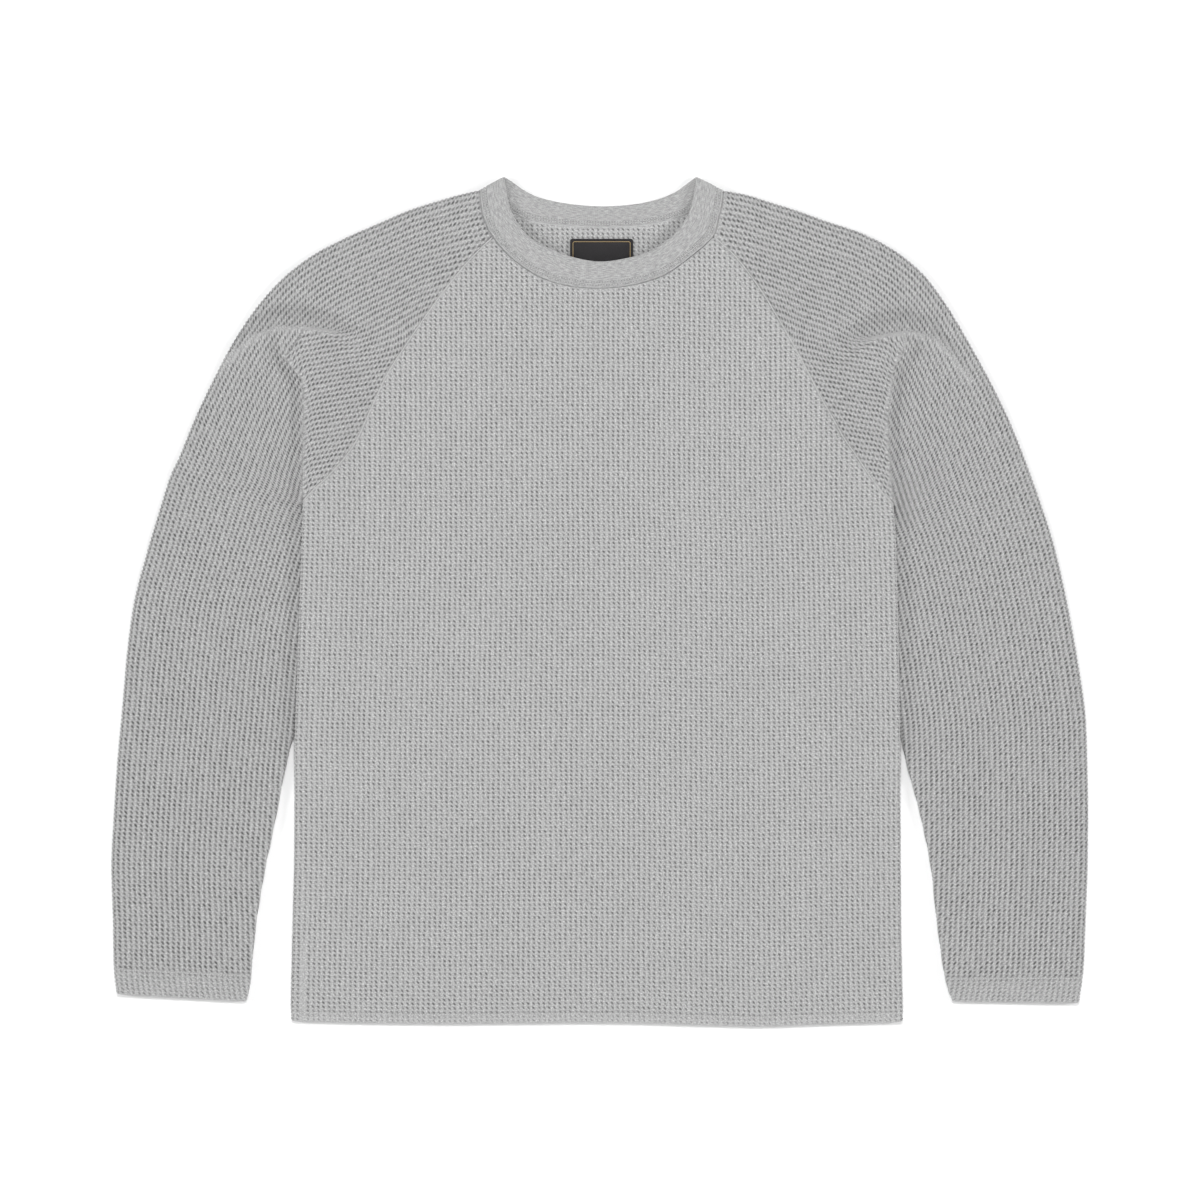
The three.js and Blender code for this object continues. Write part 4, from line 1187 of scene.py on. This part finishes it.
def label_border(name, material):
    """A thin woven line just inside the label's edge."""
    inset, width, corner = 2.6, 0.55, 1.4
    half_x, half_y = LABEL_WIDTH / 2 - inset, LABEL_HEIGHT / 2 - inset
    path = []
    for cx, cy, start in ((1, 1, 0), (-1, 1, 1), (-1, -1, 2), (1, -1, 3)):
        for angle in np.linspace(start * QUARTER, (start + 1) * QUARTER, 6):
            path.append((cx * (half_x - corner) + corner * math.cos(angle),
                         cy * (half_y - corner) + corner * math.sin(angle)))
    path = np.array(path + path[:1])
    arc = arc_lengths(path)
    even = np.linspace(0, arc[-1], 240, endpoint=False)
    path = at_lengths(even, arc, path)
    step = unit(np.roll(path, -1, axis=0) - np.roll(path, 1, axis=0))
    side = np.stack([step[:, 1], -step[:, 0]], axis=1)
    wave = label_wave(path[:, 0], path[:, 1])
    grid = []
    for across, lift in ((-0.5, -0.1), (-0.3, 0.1), (0.3, 0.1), (0.5, -0.1)):
        xy = path + side * across * width
        ripple = 0.03 * np.sin(np.arange(240) * math.pi)
        z = LABEL_BASE + LABEL_THICK - LABEL_SINK + wave + lift + ripple
        grid.append(np.stack([xy[:, 0] + LABEL_X, xy[:, 1] + LABEL_TOP - LABEL_HEIGHT / 2, z], axis=1))
    faces = ring_faces(4, 240, last_row=True)
    cloth = np.stack(np.broadcast_arrays(np.arange(4)[:, None] * 0.2, even[None, :]), axis=2)
    return small_object(name, grid, faces, cloth, material)


# -------- Materials
class Nodes:
    """A material's node tree, with short calls for the nodes that the cloths share."""

    def __init__(self, name):
        self.material = bpy.data.materials.new(name)
        self.material.use_nodes = True
        self.tree = self.material.node_tree
        self.shader = self.tree.nodes["Principled BSDF"]

    def put(self, socket, value):
        if isinstance(value, bpy.types.NodeSocket):
            self.tree.links.new(value, socket)
        elif value is not None:
            socket.default_value = value

    def add(self, kind, inputs=(), **settings):
        node = self.tree.nodes.new(kind)
        for key, value in settings.items():
            setattr(node, key, value)
        for key, value in dict(inputs).items():
            self.put(node.inputs[key], value)
        return node

    def math(self, operation, a, b=None, c=None):
        return self.add("ShaderNodeMath", {0: a, 1: b, 2: c}, operation=operation).outputs[0]

    def times(self, a, b):
        return self.math("MULTIPLY", a, b)

    def step(self, value, start, end):
        inputs = {"Value": value, "From Min": start, "From Max": end}
        return self.add("ShaderNodeMapRange", inputs, interpolation_type="SMOOTHSTEP").outputs[0]

    def noise(self, vector, scale, detail=2.0, rough=0.5):
        inputs = {"Vector": vector, "Scale": scale, "Detail": detail, "Roughness": rough}
        return self.add("ShaderNodeTexNoise", inputs).outputs["Fac"]

    def stretch(self, vector, scale):
        return self.add("ShaderNodeMapping", {"Vector": vector, "Scale": scale}).outputs["Vector"]

    def mix(self, share, a, b):
        return self.add("ShaderNodeMix", {0: share, 6: a, 7: b}, data_type="RGBA").outputs[2]

    def cloth(self):
        """Place in the knit, in ribs and courses: as a vector, and each by itself."""
        uv = self.add("ShaderNodeUVMap", uv_map="cloth").outputs["UV"]
        scaled = self.add("ShaderNodeVectorMath", {0: uv, 3: 1 / UV_SCALE}, operation="SCALE")
        apart = self.add("ShaderNodeSeparateXYZ", {"Vector": scaled.outputs[0]}).outputs
        return scaled.outputs[0], apart[0], apart[1]

    def tint(self, source, start, end, amount, base, color):
        """Lays a colour over the base where the source goes from start towards end."""
        return self.mix(self.times(self.step(source, start, end), amount), base, color)

    def bump(self, height, distance, strength):
        inputs = {"Height": height, "Distance": distance, "Strength": strength}
        return self.add("ShaderNodeBump", inputs).outputs["Normal"]

    def finish(self, color, normal, roughness, sheen=0.0, sheen_roughness=0.5, specular=0.3):
        values = {"Base Color": color, "Normal": normal, "Roughness": roughness, "Sheen Weight": sheen,
                  "Sheen Roughness": sheen_roughness, "Specular IOR Level": specular}
        for key, value in values.items():
            self.put(self.shader.inputs[key], value)
        return self.material


def grey(level):
    return (level, level, level, 1)


def waffle(name, level, pit_length=0.40, pit_width=0.245, groove_shade=0.0, pit_shade_level=0.3):
    n = Nodes(name)
    cloth, u, v = n.cloth()
    fu = n.math("SUBTRACT", n.math("FRACT", u), 0.5)
    fv = n.math("SUBTRACT", n.math("FRACT", v), 0.5)
    cell = n.add("ShaderNodeVectorMath", {0: cloth}, operation="FLOOR").outputs[0]
    chance = n.add("ShaderNodeTexWhiteNoise", {"Vector": cell}, noise_dimensions="2D").outputs["Value"]
    wander = n.times(n.math("SUBTRACT", chance, 0.5), 0.2)
    across = n.math("DIVIDE", n.math("ADD", n.math("MULTIPLY_ADD", fv, 0.46, fu), wander), pit_width)
    upward = n.math("DIVIDE", fv, pit_length)
    away = n.math("SQRT", n.math("ADD", n.math("POWER", n.math("ABSOLUTE", across), 2.0),
                                 n.math("POWER", n.math("ABSOLUTE", upward), 2.0)))
    pit = n.step(away, 1.35, 0.3)
    shown = n.add("ShaderNodeAttribute", attribute_name="open_pits").outputs["Fac"]
    # Painted shade: with a groove share above 0, the grooves between the ribs darken like the pits.
    between = n.step(n.math("ABSOLUTE", n.math("DIVIDE", fu, 0.25)), 1.3, 0.2)
    pit = n.math("MAXIMUM", pit, n.times(between, groove_shade))
    pit = n.times(pit, shown)
    strength = n.math("MULTIPLY_ADD", chance, 0.42, 0.66)
    dark = n.times(pit, strength)
    fibre = n.noise(n.stretch(cloth, (2.2, 7.0, 1.0)), 1.0, 3.0, 0.7)
    fleck = n.step(n.noise(n.stretch(cloth, (1.1, 5.5, 1.0)), 1.0, 2.0, 0.6), 0.52, 0.72)
    dust = n.noise(n.stretch(cloth, (3.4, 3.0, 1.0)), 1.0, 3.0, 0.85)
    cloudy = n.noise(cloth, 0.13, 3.0, 0.6)
    base = n.mix(fleck, grey(level * 0.92), grey(level * 1.32))
    base = n.tint(fibre, 0.5, 0.68, 0.5, base, grey(level * 0.55))
    base = n.tint(dust, 0.5, 0.64, 0.9, base, grey(level * 1.62))
    base = n.tint(dust, 0.48, 0.34, 0.6, base, grey(level * 0.52))
    base = n.tint(cloudy, 0.3, 0.7, 0.16, base, grey(level * 0.86))
    # Painted shade: each pit's colour goes towards a dark grey, less where the relief is faded; the
    # cloth has the same grey in its hollows.
    color = n.mix(n.times(dark, 0.88), base, grey(level * pit_shade_level))
    yarn = n.math("MULTIPLY_ADD", fibre, 0.6, n.times(dust, 0.5))
    height = n.math("SUBTRACT", yarn, n.times(dark, 1.1))
    normal = n.bump(height, 0.00045, 0.75)
    rough = n.math("MULTIPLY_ADD", fibre, 0.1, 0.86)
    return n.finish(color, normal, rough, sheen=0.25, sheen_roughness=0.6, specular=0.15)


def fine_knit(name, level):
    """The doubled neckband: small stitches in rows across the band, with painted shade between the
    loops and along the rows of topstitching.
    """
    n = Nodes(name)
    cloth, u, v = n.cloth()
    rib = n.math("SINE", n.times(v, 2 * math.pi / 1.7))
    loop = n.math("SINE", n.math("MULTIPLY_ADD", u, 2 * math.pi / 1.25,
                                 n.times(n.math("ABSOLUTE", rib), 1.6)))
    fibre = n.noise(n.stretch(cloth, (1.2, 0.2, 1.0)), 1.0, 3.0, 0.7)
    dust = n.noise(n.stretch(cloth, (1.8, 0.6, 1.0)), 1.0, 3.0, 0.7)
    base = n.mix(n.step(fibre, 0.38, 0.66), grey(level * 0.74), grey(level * 1.24))
    base = n.tint(dust, 0.5, 0.78, 0.45, base, grey(level * 0.55))
    # Painted shade: darker where the rows and loops of the knit sink lowest, in the hollows between
    # them.
    color = n.tint(n.math("ADD", rib, loop), -0.4, -1.8, 0.34, base, grey(level * 0.5))
    # Painted shadow: a darker line along each row of topstitching, where the stitches sink into the
    # band.
    for row in TOPSTITCH_AT:
        away = n.math("ABSOLUTE", n.math("SUBTRACT", u, row * BAND_WIDTH))
        color = n.tint(away, 0.75, 0.1, 0.42, color, grey(level * 0.45))
    height = n.math("ADD", n.times(n.math("ADD", rib, loop), 0.22), fibre)
    normal = n.bump(height, 0.0003, 0.7)
    return n.finish(color, normal, 0.88, sheen=0.25, sheen_roughness=0.6, specular=0.15)


def thread(name, color):
    n = Nodes(name)
    cloth, u, v = n.cloth()
    twist = n.math("SINE", n.math("MULTIPLY_ADD", v, 9.0, n.times(u, 6.0)))
    dust = n.noise(cloth, 3.0, 2.0, 0.6)
    dark = tuple(c * 0.72 for c in color[:3]) + (1,)
    base = n.mix(n.math("MULTIPLY_ADD", twist, 0.25, n.times(dust, 0.5)), color, dark)
    return n.finish(base, n.bump(twist, 0.0001, 0.6), 0.7, sheen=0.15, specular=0.3)


def woven(name):
    n = Nodes(name)
    cloth, u, v = n.cloth()
    warp = n.math("SINE", n.times(u, 2 * math.pi / 0.42))
    weft = n.math("SINE", n.times(v, 2 * math.pi / 0.36))
    weave = n.times(warp, weft)
    dust = n.noise(cloth, 1.7, 3.0, 0.7)
    share = n.math("MULTIPLY_ADD", weave, 0.3, n.times(dust, 0.7))
    color = n.mix(share, (0.006, 0.0055, 0.0065, 1), (0.021, 0.018, 0.021, 1))
    return n.finish(color, n.bump(weave, 0.00012, 0.6), 0.62, sheen=0.1, specular=0.35)


knit = waffle("waffle_knit", KNIT_GREY)
# The sleeves' knit is the body's cloth pulled so its pits run longer and wider; its lower grey, darker
# pits and dark grooves between ribs are painted shade.
shaded_sleeve_knit = waffle("waffle_knit_pulled_painted_shade", KNIT_GREY * 0.95, pit_length=0.47, pit_width=0.275,
                     groove_shade=0.24, pit_shade_level=0.16)
rib_knit = fine_knit("neck_knit", 0.40)
seam_thread = thread("grey_thread", grey(0.58))
seam_cord = thread("seam_cord", grey(0.54))
label_cloth = woven("label_weave")
gold_thread = thread("gold_thread", (0.42, 0.30, 0.14, 1))

# -------- Pieces
back = panel("back", "back_panel", knit)
front = panel("front", "front_panel", knit)
sleeve_right = sleeve(-1, "right_sleeve", shaded_sleeve_knit)
sleeve_left = sleeve(1, "left_sleeve", shaded_sleeve_knit)
band = neckband("neck_band", rib_knit)
tag = label("neck_label", label_cloth)
tag_line = label_border("label_border", gold_thread)
neck_thread = stitches("neck_topstitch", neck_stitch_paths(), seam_thread)
hem_thread = stitches("hem_stitch", hem_stitch_paths(), seam_thread)
right_thread = stitches("right_cuff_stitch", cuff_stitch_paths(-1), seam_thread)
left_thread = stitches("left_cuff_stitch", cuff_stitch_paths(1), seam_thread)

right_seam = seam_strip("right_raglan_seam", raglan_seam_path(-1), seam_cord)
left_seam = seam_strip("left_raglan_seam", raglan_seam_path(1), seam_cord)
front_neck_seam = seam_strip("front_neck_seam", neck_seam_path("front"), seam_cord)
back_neck_seam = seam_strip("back_neck_seam", neck_seam_path("back"), seam_cord)

PIECES = [
    (back, "back", "waffle_knit"),
    (front, "front", "waffle_knit"),
    (sleeve_right, "sleeve_right", "waffle_knit"),
    (sleeve_left, "sleeve_left", "waffle_knit"),
    (band, "neckband", "neck_rib"),
    (tag, "label", "woven_label"),
    (tag_line, None, "woven_label"),
    (neck_thread, None, "neck_rib"),
    (front_neck_seam, None, "neck_rib"),
    (back_neck_seam, None, "neck_rib"),
    (hem_thread, None, "waffle_knit"),
    (right_thread, None, "waffle_knit"),
    (left_thread, None, "waffle_knit"),
    (right_seam, None, "waffle_knit"),
    (left_seam, None, "waffle_knit"),
]
for piece, node, slot in PIECES:
    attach(piece, "root")
    if node:
        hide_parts(node)

# -------- Floor, light and camera
def floor():
    half = FLOOR_SIZE / 2
    n = 40
    u = np.linspace(-half, half, n + 1)
    x, y = np.meshgrid(u, u)
    points = np.stack([x, y, 0 * x - 0.0002], axis=2).reshape(-1, 3)
    faces = sheet_faces(np.arange((n + 1) ** 2).reshape(n + 1, n + 1)).tolist()
    paint = Nodes("floor_paint")
    spot = paint.add("ShaderNodeTexCoord").outputs["Object"]
    tone = paint.noise(spot, 3.0, 3.0, 0.5)
    color = paint.mix(tone, grey(0.93), grey(0.95))
    material = paint.finish(color, paint.bump(tone, 0.0002, 0.2), 0.9, specular=0.1)
    return make_object("floor", points, faces, None, material, weld=False)


ground = floor()


def area_light(name, place, size, power):
    data = bpy.data.lights.new(name, "AREA")
    data.shape, data.size, data.energy = "DISK", size, power
    light = bpy.data.objects.new(name, data)
    light.location = place
    light.rotation_euler = (-Vector(place)).to_track_quat("-Z", "Y").to_euler()
    bpy.context.collection.objects.link(light)


area_light("overhead", (0.0, 1.8, 3.0), 1.2, 62)
area_light("low_front", (0.0, -4.2, 1.5), 0.9, 112)
area_light("low_right", (-4.2, 0.5, 1.6), 1.0, 100)
area_light("low_left", (4.2, 0.5, 1.6), 1.0, 100)

world = bpy.data.worlds.new("studio")
bpy.context.scene.world = world
world.use_nodes = True
background = world.node_tree.nodes["Background"]
background.inputs[0].default_value = (1, 1, 1, 1)
background.inputs[1].default_value = 0.32

camera_data = bpy.data.cameras.new("camera")
camera_data.sensor_width = SENSOR
camera_data.lens = SENSOR * CAMERA_HEIGHT / VIEW_WIDTH
camera_data.clip_start, camera_data.clip_end = 0.1, 50
camera = bpy.data.objects.new("camera", camera_data)
camera.location = (0.0004, 0.0013, CAMERA_HEIGHT)
bpy.context.collection.objects.link(camera)
bpy.context.scene.camera = camera
bpy.context.scene.view_settings.view_transform = "Standard"
